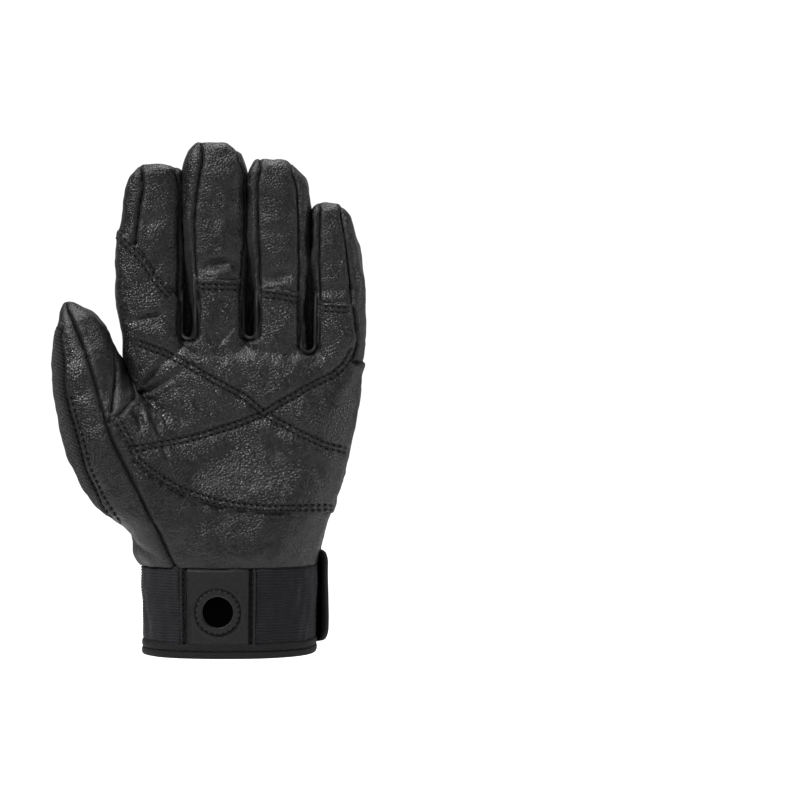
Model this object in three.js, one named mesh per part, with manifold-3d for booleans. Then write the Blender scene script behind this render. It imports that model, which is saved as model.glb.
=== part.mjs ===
// Climbing glove for the left hand, filled as a hand fills it.
// Millimetres. +Z runs from the cuff to the fingertips, the palm faces -Y and the thumb is on -X.
// The origin is the middle of the cuff's opening, on the plane of its lower edge.

import * as THREE from 'three';
import { mergeVertices } from 'three/addons/utils/BufferGeometryUtils.js';
import Module from 'manifold-3d';

const wasm = await Module();
wasm.setup();

// Cuff
const cuffWidth = 83;
const cuffDepth = 55;
const cuffHeight = 41.3;
const elasticWall = 2;
const bindingHeight = 6.6;
const bindingRise = 0.9;
const bindingGroove = 0.7;
const tabWidth = 29;
const tabAcross = -2.8;
const tabRise = 0.5;
const tabSeamWidth = 2.6;
const tabSeamRise = 1;
const holeRadius = 7.2;
const holeUp = 21.6;
const ringWidth = 3.2;
const ringRise = 1;
const strapHeight = 44;
const strapThick = 3;
const strapStandOff = 2.2;
const strapUp = 3.5;
const strapCorner = 7;
const strapFront = -2;
const strapReach = 27;

// Hand
const palmWidth = 113;
const palmDepth = 44;
const palmLength = 108;
const leatherWall = 1.6;
const patchRise = 0.9;
const quiltDeep = 0.8;
const quiltWide = 3;
const crotchDrop = 2.4;
const fingerCurl = 5;
const thumbLength = 119.5;
const thumbWidth = 29.5;
const thumbDepth = 34;

// How the pieces meet: past is how far a cutting form runs on past the face it cuts, stepDown how finely a seam is
// searched for its crossing
const gap = 0.35;
const past = 1;
const stepDown = 0.25;
const far = 120;

// Roundness of the sections, from 2 for an ellipse up, and the sides that they are faceted to
const boxyPalm = 2.6;
const boxyFinger = 3;
const boxyThumb = 2.3;
const boxyCuff = 2.5;
const cuffSides = 32;
const holeSides = 20;
const hollowSides = 0.5;
const palmSides = 24;
const fingerSides = 14;
const thumbSides = 16;
const crotchSides = 6;
const cornerSides = 4;
const thinnest = 0.5;

// The eye that all seam lines are laid out from: outlines are drawn as seen, on the plane through the origin
const eyeAcross = 80;
const eyeUp = 119;
const eyeDistance = 750;

const wrist = cuffHeight + gap;

// Palm: up is a share of palmLength from the wrist seam, left and right of palmWidth, front and back of palmDepth
const palmRows = [
  { up: 0.0, left: -0.362, right: 0.366, front: -0.61, back: 0.6 },
  { up: 0.035, left: -0.376, right: 0.373, front: -0.635, back: 0.6 },
  { up: 0.12, left: -0.405, right: 0.392, front: -0.64, back: 0.58 },
  { up: 0.27, left: -0.435, right: 0.439, front: -0.6, back: 0.55 },
  { up: 0.42, left: -0.44, right: 0.479, front: -0.55, back: 0.51 },
  { up: 0.59, left: -0.425, right: 0.517, front: -0.5, back: 0.475 },
  { up: 0.7, left: -0.4, right: 0.536, front: -0.465, back: 0.45 },
  { up: 0.76, left: -0.4, right: 0.544, front: -0.44, back: 0.435 },
  { up: 0.82, left: -0.416, right: 0.551, front: -0.42, back: 0.42 },
  { up: 0.89, left: -0.434, right: 0.56, front: -0.385, back: 0.39 },
  { up: 0.935, left: -0.434, right: 0.56, front: -0.32, back: 0.33 },
];

// Fingers: up is a share of the finger's length from its crotch, left and right of its width from its middle line,
// front and back of its depth. The seams bound the front panel, on the same shares as left and right.
const fingers = {
  index: {
    length: 80, width: 30, depth: 27, across: -0.325, crotch: 0.993,
    rows: [
      { up: -0.31, left: -0.3, right: 0.42, front: -0.5, back: 0.5, seamLeft: -0.3, seamRight: 0.42 },
      { up: -0.07, left: -0.43, right: 0.61, front: -0.585, back: 0.59, seamLeft: -0.3, seamRight: 0.42 },
      { up: 0.035, left: -0.45, right: 0.556, front: -0.575, back: 0.56, seamLeft: -0.3, seamRight: 0.42 },
      { up: 0.23, left: -0.53, right: 0.541, front: -0.54, back: 0.52, seamLeft: -0.3, seamRight: 0.425 },
      { up: 0.46, left: -0.527, right: 0.523, front: -0.51, back: 0.49, seamLeft: -0.295, seamRight: 0.43 },
      { up: 0.81, left: -0.413, right: 0.494, front: -0.46, back: 0.43, seamLeft: -0.195, seamRight: 0.43 },
      { up: 0.91, left: -0.35, right: 0.482, front: -0.425, back: 0.39, seamLeft: -0.155, seamRight: 0.42 },
      { up: 0.972, left: -0.24, right: 0.438, front: -0.37, back: 0.315, seamLeft: -0.185, seamRight: 0.375 },
      { up: 1.0, left: -0.18, right: 0.33, front: -0.28, back: 0.2, seamLeft: -0.2, seamRight: 0.36 },
    ],
  },
  middle: {
    length: 90, width: 29, depth: 28, across: -0.054, crotch: 0.997,
    rows: [
      { up: -0.26, left: -0.38, right: 0.38, front: -0.5, back: 0.52, seamLeft: -0.31, seamRight: 0.39 },
      { up: -0.065, left: -0.55, right: 0.62, front: -0.585, back: 0.58, seamLeft: -0.31, seamRight: 0.39 },
      { up: 0.025, left: -0.464, right: 0.526, front: -0.57, back: 0.55, seamLeft: -0.31, seamRight: 0.39 },
      { up: 0.2, left: -0.479, right: 0.522, front: -0.55, back: 0.52, seamLeft: -0.315, seamRight: 0.39 },
      { up: 0.4, left: -0.498, right: 0.515, front: -0.52, back: 0.5, seamLeft: -0.38, seamRight: 0.43 },
      { up: 0.74, left: -0.526, right: 0.497, front: -0.47, back: 0.45, seamLeft: -0.35, seamRight: 0.458 },
      { up: 0.86, left: -0.515, right: 0.483, front: -0.435, back: 0.4, seamLeft: -0.286, seamRight: 0.434 },
      { up: 0.937, left: -0.455, right: 0.38, front: -0.385, back: 0.34, seamLeft: -0.236, seamRight: 0.335 },
      { up: 0.979, left: -0.376, right: 0.286, front: -0.33, back: 0.27, seamLeft: -0.26, seamRight: 0.315 },
      { up: 1.0, left: -0.297, right: 0.21, front: -0.25, back: 0.18, seamLeft: -0.27, seamRight: 0.3 },
    ],
  },
  ring: {
    length: 82, width: 29.5, depth: 27, across: 0.2115, crotch: 0.997,
    rows: [
      { up: -0.29, left: -0.37, right: 0.38, front: -0.5, back: 0.52, seamLeft: -0.33, seamRight: 0.3 },
      { up: -0.13, left: -0.5, right: 0.58, front: -0.57, back: 0.58, seamLeft: -0.33, seamRight: 0.3 },
      { up: -0.057, left: -0.555, right: 0.485, front: -0.58, back: 0.575, seamLeft: -0.33, seamRight: 0.3 },
      { up: 0.028, left: -0.483, right: 0.485, front: -0.57, back: 0.56, seamLeft: -0.33, seamRight: 0.3 },
      { up: 0.22, left: -0.488, right: 0.487, front: -0.55, back: 0.53, seamLeft: -0.335, seamRight: 0.305 },
      { up: 0.44, left: -0.495, right: 0.49, front: -0.52, back: 0.505, seamLeft: -0.357, seamRight: 0.302 },
      { up: 0.79, left: -0.51, right: 0.457, front: -0.465, back: 0.445, seamLeft: -0.39, seamRight: 0.29 },
      { up: 0.895, left: -0.505, right: 0.4, front: -0.43, back: 0.4, seamLeft: -0.372, seamRight: 0.265 },
      { up: 0.962, left: -0.445, right: 0.235, front: -0.365, back: 0.33, seamLeft: -0.33, seamRight: 0.195 },
      { up: 1.0, left: -0.36, right: 0.132, front: -0.26, back: 0.2, seamLeft: -0.34, seamRight: 0.18 },
    ],
  },
  little: {
    length: 68.5, width: 25.5, depth: 24, across: 0.4566, crotch: 0.935,
    rows: [
      { up: -0.26, left: -0.35, right: 0.33, front: -0.5, back: 0.54, seamLeft: -0.385, seamRight: 0.35 },
      { up: -0.05, left: -0.57, right: 0.47, front: -0.605, back: 0.62, seamLeft: -0.385, seamRight: 0.35 },
      { up: 0.035, left: -0.5, right: 0.495, front: -0.605, back: 0.6, seamLeft: -0.385, seamRight: 0.35 },
      { up: 0.2, left: -0.5, right: 0.505, front: -0.575, back: 0.565, seamLeft: -0.38, seamRight: 0.315 },
      { up: 0.37, left: -0.5, right: 0.503, front: -0.55, back: 0.54, seamLeft: -0.375, seamRight: 0.245 },
      { up: 0.57, left: -0.498, right: 0.45, front: -0.52, back: 0.515, seamLeft: -0.385, seamRight: 0.19 },
      { up: 0.75, left: -0.495, right: 0.36, front: -0.49, back: 0.48, seamLeft: -0.39, seamRight: 0.13 },
      { up: 0.88, left: -0.488, right: 0.25, front: -0.45, back: 0.435, seamLeft: -0.385, seamRight: 0.085 },
      { up: 0.96, left: -0.455, right: 0.135, front: -0.385, back: 0.365, seamLeft: -0.355, seamRight: 0.06 },
      { up: 1.0, left: -0.345, right: 0.015, front: -0.27, back: 0.2, seamLeft: -0.35, seamRight: 0.05 },
    ],
  },
};

// Thumb: up is a share of thumbLength below and above its root, left and right of thumbWidth from the crotch's edge,
// front and back of thumbDepth. The seams are the knit's edge, the main seam and the pad's inner seam.
const thumbAcross = -0.384;
const thumbSeamAcross = -0.4;
const thumbRoot = 0.03;
const thumbRows = [
  { up: 0.0, left: 0.45, right: 0.95, front: -0.75, back: 0.3, knit: 0.0, main: 0.62, pad: 1.6 },
  { up: 0.065, left: 0.05, right: 1.1, front: -0.84, back: 0.35, knit: -0.1, main: 0.46, pad: 1.6 },
  { up: 0.13, left: -0.2, right: 1.15, front: -0.93, back: 0.4, knit: -0.28, main: 0.31, pad: 1.4 },
  { up: 0.175, left: -0.48, right: 1.15, front: -0.96, back: 0.42, knit: -0.42, main: 0.24, pad: 1.2 },
  { up: 0.28, left: -0.82, right: 1.1, front: -0.98, back: 0.42, knit: -0.65, main: 0.02, pad: 0.9 },
  { up: 0.37, left: -1.03, right: 0.9, front: -0.97, back: 0.39, knit: -0.81, main: -0.155, pad: 0.6 },
  { up: 0.54, left: -1.2, right: 0.5, front: -0.91, back: 0.32, knit: -1.01, main: -0.46, pad: -0.38 },
  { up: 0.66, left: -1.31, right: 0.02, front: -0.82, back: 0.26, knit: -1.12, main: -0.587, pad: -0.31 },
  { up: 0.755, left: -1.312, right: -0.17, front: -0.755, back: 0.2, knit: -1.15, main: -0.69, pad: -0.285 },
  { up: 0.835, left: -1.287, right: -0.315, front: -0.68, back: 0.14, knit: -1.22, main: -0.807, pad: -0.308 },
  { up: 0.915, left: -1.24, right: -0.505, front: -0.585, back: 0.07, knit: -1.35, main: -0.945, pad: -0.35 },
  { up: 0.97, left: -1.18, right: -0.73, front: -0.48, back: -0.04, knit: -1.4, main: -1.02, pad: -0.4 },
  { up: 1.0, left: -1.115, right: -0.98, front: -0.36, back: -0.18, knit: -1.4, main: -1.06, pad: -0.45 },
];

// Dents and swells of the palm side: shares of palmWidth and palmLength, and of palmDepth for how far they go in
const dents = [
  { name: 'palm hollow', across: 0.04, up: 0.52, wide: 0.24, tall: 0.24, deep: 0.12 },
  { name: 'crotch fold', across: -0.385, up: 0.62, wide: 0.04, tall: 0.09, deep: 0.1 },
  { name: 'fold beside the crotch', across: -0.29, up: 0.55, wide: 0.035, tall: 0.09, deep: 0.06 },
  { name: 'heel below the little finger', across: 0.3, up: 0.32, wide: 0.14, tall: 0.16, deep: -0.05 },
  { name: 'middle finger base', across: -0.04, up: 0.98, wide: 0.04, tall: 0.06, deep: 0.04 },
  { name: 'index base crease', across: -0.34, up: 1.07, wide: 0.09, tall: 0.03, deep: 0.035 },
  { name: 'lower palm fold', across: -0.15, up: 0.42, wide: 0.05, tall: 0.12, deep: 0.04 },
  { name: 'middle finger crease', across: -0.05, up: 1.31, wide: 0.11, tall: 0.035, deep: 0.045 },
  { name: 'ring finger crease', across: 0.22, up: 1.27, wide: 0.11, tall: 0.035, deep: 0.035 },
  { name: 'little finger crease', across: 0.45, up: 1.2, wide: 0.11, tall: 0.03, deep: 0.025 },
];

function placeAcross(share) {
  return share * palmWidth;
}

function placeUp(share) {
  return wrist + share * palmLength;
}

function sightScale(y) {
  return 1 + y / eyeDistance;
}

// Forms are lofted through level rings. grow moves every wall out, so a form with grow below zero is a hollow.
function curlForward(z) {
  const above = Math.max(0, z - placeUp(0.9));
  const reach = fingers.middle.length + palmLength * 0.1;
  return fingerCurl * (above / reach) ** 2;
}

function dentAt(x, y, z) {
  const seenX = eyeAcross + (x - eyeAcross) / sightScale(y);
  const seenZ = eyeUp + (z - eyeUp) / sightScale(y);
  let inward = 0;
  for (const dent of dents) {
    const dx = (seenX - placeAcross(dent.across)) / (dent.wide * palmWidth);
    const dz = (seenZ - placeUp(dent.up)) / (dent.tall * palmLength);
    inward += dent.deep * palmDepth * Math.exp(-dx * dx - dz * dz);
  }
  return inward;
}

function ringOf(section, fullSides, boxy, grow) {
  const sides = grow < 0 ? Math.round(fullSides * hollowSides) : fullSides;
  const centreX = (section.left + section.right) / 2;
  const centreY = (section.front + section.back) / 2;
  const halfX = Math.max(thinnest, (section.right - section.left) / 2 + grow);
  const halfY = Math.max(thinnest, (section.back - section.front) / 2 + grow);
  const points = [];
  for (let i = 0; i < sides; i += 1) {
    const turn = (2 * Math.PI * i) / sides;
    const c = Math.cos(turn);
    const s = Math.sin(turn);
    const x = centreX + halfX * Math.sign(c) * Math.abs(c) ** (2 / boxy);
    const y = centreY + halfY * Math.sign(s) * Math.abs(s) ** (2 / boxy);
    const frontShare = Math.max(0, (centreY - y) / halfY);
    const inward = dentAt(x, y, section.z) * frontShare;
    points.push(new THREE.Vector3(x, y + inward - curlForward(section.z), section.z));
  }
  return points;
}

function solidFrom(geometry) {
  const bare = geometry.index ? geometry.toNonIndexed() : geometry.clone();
  bare.deleteAttribute('normal');
  bare.deleteAttribute('uv');
  const merged = mergeVertices(bare, 1e-4);
  return new wasm.Manifold(new wasm.Mesh({
    numProp: 3,
    vertProperties: new Float32Array(merged.attributes.position.array),
    triVerts: new Uint32Array(merged.index.array),
  }));
}

function geometryFrom(solid) {
  const mesh = solid.getMesh();
  const geometry = new THREE.BufferGeometry();
  geometry.setAttribute('position', new THREE.BufferAttribute(mesh.vertProperties, 3));
  geometry.setIndex(new THREE.BufferAttribute(mesh.triVerts, 1));
  geometry.computeVertexNormals();
  return geometry;
}

function loft(rings) {
  const sides = rings[0].length;
  const positions = [];
  const index = [];
  for (const ring of rings) {
    for (const point of ring) {
      positions.push(point.x, point.y, point.z);
    }
  }
  for (let row = 0; row + 1 < rings.length; row += 1) {
    for (let i = 0; i < sides; i += 1) {
      const next = (i + 1) % sides;
      const a = row * sides + i;
      const b = row * sides + next;
      index.push(a, b, a + sides, b, b + sides, a + sides);
    }
  }
  for (const [row, up] of [[0, false], [rings.length - 1, true]]) {
    const middle = new THREE.Vector3();
    for (const point of rings[row]) {
      middle.addScaledVector(point, 1 / sides);
    }
    const centre = positions.length / 3;
    positions.push(middle.x, middle.y, middle.z);
    for (let i = 0; i < sides; i += 1) {
      const a = row * sides + i;
      const b = row * sides + ((i + 1) % sides);
      index.push(centre, up ? a : b, up ? b : a);
    }
  }
  const geometry = new THREE.BufferGeometry();
  geometry.setAttribute('position', new THREE.Float32BufferAttribute(positions, 3));
  geometry.setIndex(index);
  return solidFrom(geometry);
}

// A hollow is lofted through every other row, which leaves its walls a little thicker between them
function rowsFor(rows, grow) {
  return grow < 0 ? rows.filter((row, i) => i % 2 === 0 || i === rows.length - 1) : rows;
}

function palmForm(grow) {
  const sections = rowsFor(palmRows, grow).map((row) => ({
    z: placeUp(row.up),
    left: placeAcross(row.left),
    right: placeAcross(row.right),
    front: row.front * palmDepth,
    back: row.back * palmDepth,
  }));
  const first = sections[0];
  if (grow < 0) {
    sections.unshift({ ...first, z: first.z - cuffHeight / 2 });
    sections[sections.length - 1].z += grow;
  }
  return loft(sections.map((section) => ringOf(section, palmSides, boxyPalm, grow)));
}

function fingerCentre(finger) {
  return placeAcross(finger.across);
}

function fingerUp(finger, share) {
  return placeUp(finger.crotch) + share * finger.length;
}

function fingerForm(finger, grow) {
  const centre = fingerCentre(finger);
  const sections = rowsFor(finger.rows, grow).map((row) => ({
    z: fingerUp(finger, row.up) + grow * Math.min(1, Math.max(0, row.up)),
    left: centre + row.left * finger.width,
    right: centre + row.right * finger.width,
    front: row.front * finger.depth,
    back: row.back * finger.depth,
  }));
  return loft(sections.map((section) => ringOf(section, fingerSides, boxyFinger, grow)));
}

function thumbPlace(share) {
  return placeAcross(thumbAcross) + share * thumbWidth;
}

function thumbUp(share) {
  return placeUp(thumbRoot) + share * thumbLength;
}

function thumbForm(grow) {
  const sections = rowsFor(thumbRows, grow).map((row) => ({
    z: thumbUp(row.up) + grow * Math.max(0, row.up),
    left: thumbPlace(row.left),
    right: thumbPlace(row.right),
    front: row.front * thumbDepth,
    back: row.back * thumbDepth,
  }));
  return loft(sections.map((section) => ringOf(section, thumbSides, boxyThumb, grow)));
}

function handForm(grow) {
  let form = palmForm(grow).add(thumbForm(grow));
  for (const finger of Object.values(fingers)) {
    form = form.add(fingerForm(finger, grow));
  }
  return form;
}

// Panels are cut from the hollow hand by outlines seen from the palm side, between two depths.
function spread(points, distance) {
  const area = THREE.ShapeUtils.area(points);
  const outward = Math.sign(area) * distance;
  return points.map((point, i) => {
    const before = points[(i + points.length - 1) % points.length];
    const after = points[(i + 1) % points.length];
    const edgeIn = point.clone().sub(before).normalize();
    const edgeOut = after.clone().sub(point).normalize();
    const normal = new THREE.Vector2(edgeIn.y + edgeOut.y, -edgeIn.x - edgeOut.x).normalize();
    const miter = Math.max(0.5, normal.dot(new THREE.Vector2(edgeOut.y, -edgeOut.x)));
    return point.clone().addScaledVector(normal, outward / miter);
  });
}

function prism(points, front, back) {
  const geometry = new THREE.ExtrudeGeometry(new THREE.Shape(points), {
    depth: back - front,
    bevelEnabled: false,
    steps: 1,
  });
  geometry.rotateX(Math.PI / 2);
  geometry.translate(0, back, 0);
  return geometry;
}

// A prism whose sides follow the sight lines
function sightPrism(points, front, back) {
  const geometry = prism(points, front, back);
  const position = geometry.attributes.position;
  for (let i = 0; i < position.count; i += 1) {
    const scale = sightScale(position.getY(i));
    position.setX(i, eyeAcross + (position.getX(i) - eyeAcross) * scale);
    position.setZ(i, eyeUp + (position.getZ(i) - eyeUp) * scale);
  }
  return solidFrom(geometry);
}

// An outline of depth and height, run across the whole width
function sideways(points) {
  const geometry = new THREE.ExtrudeGeometry(new THREE.Shape(points), {
    depth: 2 * far,
    bevelEnabled: false,
    steps: 1,
  });
  geometry.rotateX(Math.PI / 2);
  geometry.rotateZ(Math.PI / 2);
  geometry.translate(-far, 0, 0);
  return geometry;
}

// A cell is the room that one piece takes, and around is that room with the gap to the next piece
function cell(points, front = -far, back = far) {
  return {
    inside: sightPrism(points, front, back),
    around: sightPrism(spread(points, gap), front - gap, back + gap),
  };
}

function joined(cells) {
  return {
    inside: cells.map((one) => one.inside).reduce((a, b) => a.add(b)),
    around: cells.map((one) => one.around).reduce((a, b) => a.add(b)),
  };
}

function mainBody(solid) {
  return solid.decompose().reduce((a, b) => (b.volume() > a.volume() ? b : a));
}

// Lines on the palm side, from below to above
function line(rows, across, up) {
  return rows.map((row) => new THREE.Vector2(across(row), up(row)));
}

function fingerSeam(finger, side) {
  const rows = finger.rows.filter((row) => row.up > 0);
  const points = line(
    rows,
    (row) => fingerCentre(finger) + row[side] * finger.width,
    (row) => fingerUp(finger, row.up),
  );
  const last = points[points.length - 1];
  points.push(new THREE.Vector2(last.x, last.y + leatherWall * 3));
  return points;
}

function above(points, height) {
  return points.filter((point) => point.y > height);
}

function thumbSeam(name) {
  return line(
    thumbRows,
    (row) => placeAcross(thumbSeamAcross) + row[name] * thumbWidth,
    (row) => thumbUp(row.up),
  );
}

function shareLine(rows) {
  return line(rows, (row) => placeAcross(row.across), (row) => placeUp(row.up));
}

// Depth planes: where a fingertip's front panel ends at the back, and where the palm side meets the back
const palmSplit = palmDepth * 0.1;
const thumbSplit = -thumbDepth * 0.2;
const knuckles = placeUp(1.1);
const thumbTipUp = thumbUp(0.9);

// Edge of the patch on each finger, from its left to its right seam
const patchEdges = {
  index: shareLine([
    { across: -0.53, up: 1.52 },
    { across: -0.454, up: 1.448 },
    { across: -0.363, up: 1.356 },
    { across: -0.298, up: 1.254 },
    { across: -0.227, up: 1.171 },
    { across: -0.2, up: 1.15 },
  ]),
  middle: shareLine([{ across: -0.2, up: 1.245 }, { across: 0.1, up: 1.245 }]),
  ring: shareLine([{ across: 0.09, up: 1.206 }, { across: 0.35, up: 1.184 }]),
  little: shareLine([{ across: 0.34, up: 1.142 }, { across: 0.6, up: 1.142 }]),
};

// Lower edge of the patch, from the thumb's main seam to the little finger side
const patchArc = shareLine([
  { across: -0.438, up: 0.504 },
  { across: -0.42, up: 0.45 },
  { across: -0.376, up: 0.41 },
  { across: -0.311, up: 0.357 },
  { across: -0.227, up: 0.304 },
  { across: -0.139, up: 0.269 },
  { across: -0.04, up: 0.239 },
  { across: 0.08, up: 0.22 },
  { across: 0.24, up: 0.215 },
  { across: 0.429, up: 0.221 },
  { across: 0.6, up: 0.225 },
]);

function lineHeight(points, x) {
  for (let i = 0; i + 1 < points.length; i += 1) {
    if (x <= points[i + 1].x) {
      const share = (x - points[i].x) / (points[i + 1].x - points[i].x);
      return points[i].y + share * (points[i + 1].y - points[i].y);
    }
  }
  return points[points.length - 1].y;
}

// The part of a line between two seams, with its ends on them
function clipLine(points, left, right) {
  const inner = points.filter((point) => point.x > left + past && point.x < right - past);
  return [
    new THREE.Vector2(left, lineHeight(points, left)),
    ...inner,
    new THREE.Vector2(right, lineHeight(points, right)),
  ];
}

function seamAcross(points, height) {
  for (let i = 0; i + 1 < points.length; i += 1) {
    if (height <= points[i + 1].y) {
      const share = (height - points[i].y) / (points[i + 1].y - points[i].y);
      return points[i].x + Math.max(0, share) * (points[i + 1].x - points[i].x);
    }
  }
  return points[points.length - 1].x;
}

const names = Object.keys(fingers);
const seams = {};
for (const name of names) {
  seams[name] = {
    left: fingerSeam(fingers[name], 'seamLeft'),
    right: fingerSeam(fingers[name], 'seamRight'),
  };
}

function crotchOutline(name, nextName) {
  const left = seams[name].right;
  const right = seams[nextName].left;
  const low = placeUp(Math.min(fingers[name].crotch, fingers[nextName].crotch));
  const leftLow = seamAcross(left, low);
  const rightLow = seamAcross(right, low);
  const middle = (leftLow + rightLow) / 2;
  const radius = (rightLow - leftLow) / 2;
  const bottom = low - crotchDrop + radius;
  const round = [];
  for (let i = 0; i <= crotchSides; i += 1) {
    const turn = Math.PI + (Math.PI * i) / crotchSides;
    round.push(new THREE.Vector2(middle + radius * Math.cos(turn), bottom + radius * Math.sin(turn)));
  }
  const rise = bottom + 2 * past;
  const top = Math.max(left[left.length - 1].y, right[right.length - 1].y) + 6 * past;
  const rightUp = above(right, rise);
  const leftUp = above(left, rise).reverse();
  return [
    ...round,
    ...rightUp,
    new THREE.Vector2(rightUp[rightUp.length - 1].x, top),
    new THREE.Vector2(leftUp[0].x, top),
    ...leftUp,
  ];
}

function frontCell(name) {
  const { left, right } = seams[name];
  const edge = patchEdges[name];
  const leftEdge = meet(left, edge);
  const rightEdge = meet(right, edge);
  const bottom = clipLine(edge, leftEdge.x, rightEdge.x);
  const tipBack = fingerTipBack(fingers[name]);
  return cell(
    [...bottom, ...above(right, rightEdge.y + past), ...above(left, leftEdge.y + past).reverse()],
    -far,
    tipBack,
  );
}

// Where a seam crosses an edge that runs from left to right
function meet(seam, edge) {
  for (let height = seam[seam.length - 1].y; height > seam[0].y; height -= stepDown) {
    const x = seamAcross(seam, height);
    if (height <= lineHeight(edge, x)) {
      return new THREE.Vector2(x, height);
    }
  }
  return seam[0].clone();
}

function fingerTipBack(finger) {
  const top = finger.rows[finger.rows.length - 1];
  return top.back * finger.depth - curlForward(fingerUp(finger, 1)) - leatherWall;
}

function backCell(name) {
  const { left, right } = seams[name];
  const corner = (points) => new THREE.Vector2(seamAcross(points, knuckles), knuckles);
  return cell(
    [corner(left), corner(right), ...above(right, knuckles + past), ...above(left, knuckles + past).reverse()],
    fingerTipBack(fingers[name]),
    far,
  );
}

// Heights and sides that lie clear of the form, where an outline may close
const sideTop = placeUp(1.9);
const aboveThumb = placeUp(1.3);
const besideThumb = placeAcross(-0.6);
const belowWrist = wrist - past;

const indexCut = meet(seams.index.left, patchEdges.index);
const indexFoot = patchEdges.index[0];
const littleLow = placeUp(0.88);
const littleFoot = seams.little.right[0].x - 2 * past;
const topOf = (points) => points[points.length - 1];

const cells = {};
for (const name of names) {
  cells[`${name}_front`] = frontCell(name);
  cells[`${name}_back`] = backCell(name);
}
cells.fourchette_index_middle = cell(crotchOutline('index', 'middle'));
cells.fourchette_middle_ring = cell(crotchOutline('middle', 'ring'));
cells.fourchette_ring_little = cell(crotchOutline('ring', 'little'));
cells.index_side = cell([
  new THREE.Vector2(-far, indexFoot.y + far / 4),
  indexFoot,
  ...clipLine(patchEdges.index, placeAcross(-0.5), indexCut.x).slice(1),
  ...above(seams.index.left, indexCut.y + past),
  new THREE.Vector2(topOf(seams.index.left).x, sideTop),
  new THREE.Vector2(-far, sideTop),
]);
cells.little_side = cell([
  new THREE.Vector2(far, littleLow),
  new THREE.Vector2(littleFoot, littleLow),
  ...seams.little.right,
  new THREE.Vector2(topOf(seams.little.right).x, sideTop),
  new THREE.Vector2(far, sideTop),
]);

const mainSeam = thumbSeam('main');
const knitSeam = thumbSeam('knit');
const padSeam = thumbSeam('pad');
const padLow = placeUp(0.59);
const knitLow = placeUp(0.15);
const padInner = placeAcross(-0.49);
const padFoot = new THREE.Vector2(seamAcross(mainSeam, padLow), padLow);
const padUp = above(padSeam, padLow + 4 * past);
const arcEnd = patchArc[patchArc.length - 1].y;
const crotchEdge = shareLine([
  { across: -0.454, up: 0.66 },
  { across: -0.395, up: 0.731 },
  { across: -0.412, up: 0.784 },
  { across: -0.431, up: 0.854 },
  { across: -0.458, up: 0.945 },
]);
const patchEdge = [padFoot, ...patchArc];

cells.thumb_outer = joined([
  cell(
    [
      new THREE.Vector2(besideThumb, belowWrist),
      new THREE.Vector2(mainSeam[0].x, belowWrist),
      ...mainSeam,
      ...above(knitSeam, knitLow + past).reverse(),
      new THREE.Vector2(besideThumb, knitLow),
    ],
    -far,
    thumbSplit,
  ),
  cell([
    new THREE.Vector2(-far, thumbTipUp),
    new THREE.Vector2(seamAcross(mainSeam, thumbTipUp), thumbTipUp),
    ...above(mainSeam, thumbTipUp + past),
    new THREE.Vector2(topOf(mainSeam).x, aboveThumb),
    new THREE.Vector2(-far, aboveThumb),
  ]),
]);
cells.thumb_front = joined([
  cell([...above(mainSeam, padLow + past).reverse(), padFoot, ...padUp], -far, thumbSplit),
  cell([
    new THREE.Vector2(seamAcross(mainSeam, thumbTipUp), thumbTipUp),
    new THREE.Vector2(padInner, thumbTipUp),
    new THREE.Vector2(padInner, aboveThumb),
    new THREE.Vector2(topOf(mainSeam).x, aboveThumb),
    ...above(mainSeam, thumbTipUp + past).reverse(),
  ]),
]);
cells.thumb_web = cell(
  [padFoot, ...crotchEdge, ...padUp.filter((point) => point.y < thumbTipUp).reverse()],
  -far,
  thumbSplit,
);
cells.palm_patch = joined([
  cell(
    [
      ...patchEdge,
      new THREE.Vector2(far, arcEnd),
      new THREE.Vector2(far, sideTop),
      new THREE.Vector2(besideThumb, sideTop),
      new THREE.Vector2(besideThumb, aboveThumb),
      ...crotchEdge.slice().reverse(),
    ],
    -far,
    palmSplit,
  ),
  cell([
    ...crotchEdge.slice(-2).reverse(),
    new THREE.Vector2(seams.index.left[0].x, crotchEdge[crotchEdge.length - 2].y),
    ...seams.index.left.filter((point) => point.y < indexCut.y - past),
    indexCut,
    patchEdges.index[1],
    indexFoot,
    new THREE.Vector2(besideThumb, indexFoot.y + 10 * past),
    new THREE.Vector2(besideThumb, aboveThumb),
  ]),
]);
cells.palm_heel = cell(
  [
    new THREE.Vector2(mainSeam[0].x, belowWrist),
    new THREE.Vector2(far, belowWrist),
    new THREE.Vector2(far, arcEnd),
    ...patchEdge.slice().reverse(),
    ...mainSeam.filter((point) => point.y < padLow - past).reverse(),
  ],
  -far,
  palmSplit,
);

// Hollow hand, its patch layer and what is raised on it or sunk into it
const outer = handForm(0);
const hollow = handForm(-leatherWall);
const shell = outer.subtract(hollow);
const raisedShell = handForm(patchRise).subtract(hollow);

function band(points, wide) {
  const left = [];
  const right = [];
  points.forEach((point, i) => {
    const before = points[Math.max(0, i - 1)];
    const after = points[Math.min(points.length - 1, i + 1)];
    const along = after.clone().sub(before).normalize();
    const normal = new THREE.Vector2(-along.y, along.x).multiplyScalar(wide / 2);
    left.push(point.clone().add(normal));
    right.push(point.clone().sub(normal));
  });
  return sightPrism([...left, ...right.reverse()], -far, 0);
}

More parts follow.
